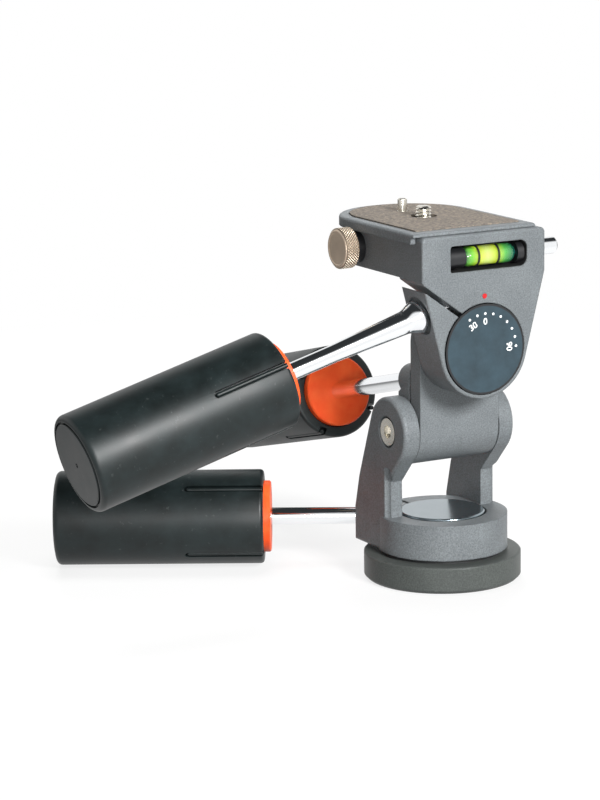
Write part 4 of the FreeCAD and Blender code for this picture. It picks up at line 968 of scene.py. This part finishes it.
def make_world():
    """White to the eye, darker overhead in mirrors, and a low even light on the object."""
    world = bpy.data.worlds.new("studio")
    bpy.context.scene.world = world
    world.use_nodes = True
    tree = world.node_tree
    tree.nodes.clear()
    path = tree.nodes.new("ShaderNodeLightPath")
    way = tree.nodes.new("ShaderNodeTexCoord")
    split = tree.nodes.new("ShaderNodeSeparateXYZ")
    tree.links.new(way.outputs["Generated"], split.inputs[0])
    ramp = tree.nodes.new("ShaderNodeValToRGB")
    line = ramp.color_ramp.elements
    line[0].position, line[0].color = 0.60, (1, 1, 1, 1)
    line[1].position, line[1].color = 0.76, (0.03, 0.033, 0.035, 1)
    tree.links.new(split.outputs["Z"], ramp.inputs["Fac"])
    backs = {}
    for name, strength in (("seen", 1.0), ("mirrored", 1.0), ("light", 0.09)):
        back = tree.nodes.new("ShaderNodeBackground")
        back.inputs["Color"].default_value = (1, 1, 1, 1)
        back.inputs["Strength"].default_value = strength
        backs[name] = back.outputs[0]
    tree.links.new(ramp.outputs["Color"], backs["mirrored"].node.inputs["Color"])
    backs["light"].node.inputs["Color"].default_value = (1.0, 1.0, 0.9, 1)
    eye = tree.nodes.new("ShaderNodeMath")
    eye.operation = "MAXIMUM"
    tree.links.new(path.outputs["Is Camera Ray"], eye.inputs[0])
    tree.links.new(path.outputs["Is Transmission Ray"], eye.inputs[1])
    first = tree.nodes.new("ShaderNodeMixShader")
    tree.links.new(path.outputs["Is Glossy Ray"], first.inputs[0])
    tree.links.new(backs["light"], first.inputs[1])
    tree.links.new(backs["mirrored"], first.inputs[2])
    second = tree.nodes.new("ShaderNodeMixShader")
    tree.links.new(eye.outputs[0], second.inputs[0])
    tree.links.new(first.outputs[0], second.inputs[1])
    tree.links.new(backs["seen"], second.inputs[2])
    end = tree.nodes.new("ShaderNodeOutputWorld")
    tree.links.new(second.outputs[0], end.inputs["Surface"])


def lamp(name, place, target, width, height, power, mirrored=True):
    """A rectangular lamp turned to its target. An unmirrored one doesn't show in metal."""
    data = bpy.data.lights.new(name, "AREA")
    data.shape = "RECTANGLE"
    data.size = width
    data.size_y = height
    data.energy = power
    piece = bpy.data.objects.new(name, data)
    bpy.context.scene.collection.objects.link(piece)
    piece.visible_glossy = mirrored
    piece.location = place
    piece.rotation_euler = (Vector(target) - Vector(place)).to_track_quat("-Z", "Y").to_euler()


def make_lamps():
    """Key in front, a wide one overhead, a fill from the left and one from behind."""
    middle = (-0.04, 0.0, 0.08)
    lamp("key", (0.02, -1.12, 0.60), middle, 0.32, 0.32, 22.0)
    lamp("overhead", (-0.05, 0.15, 1.1), middle, 0.8, 0.5, 6.0, mirrored=False)
    lamp("fill", (-0.48, -0.98, 0.2), middle, 0.3, 0.3, 4.6)
    lamp("rear", (0.40, 1.0, 0.60), middle, 0.6, 0.6, 12.0, mirrored=False)


def make_camera():
    """The place, turn and lens found from the round base, the dial and the platform."""
    right = Vector((0.87685781, -0.48052725, -0.01462652))
    up = Vector((0.11209258, 0.17476943, 0.978208))
    back = Vector((-0.46749934, -0.85938886, 0.20711148))
    data = bpy.data.cameras.new("camera")
    data.sensor_width = 36.0
    data.lens = 134.456
    data.clip_start = 0.05
    data.clip_end = 20.0
    camera = bpy.data.objects.new("camera", data)
    bpy.context.scene.collection.objects.link(camera)
    turn = Matrix((right, up, back)).transposed().to_4x4()
    camera.matrix_world = Matrix.Translation(Vector((-609.03, -1000.98, 320.54)) * MM) @ turn
    bpy.context.scene.camera = camera


make_pieces()
make_floor()
make_world()
make_lamps()
make_camera()
bpy.context.scene.view_settings.view_transform = "Standard"
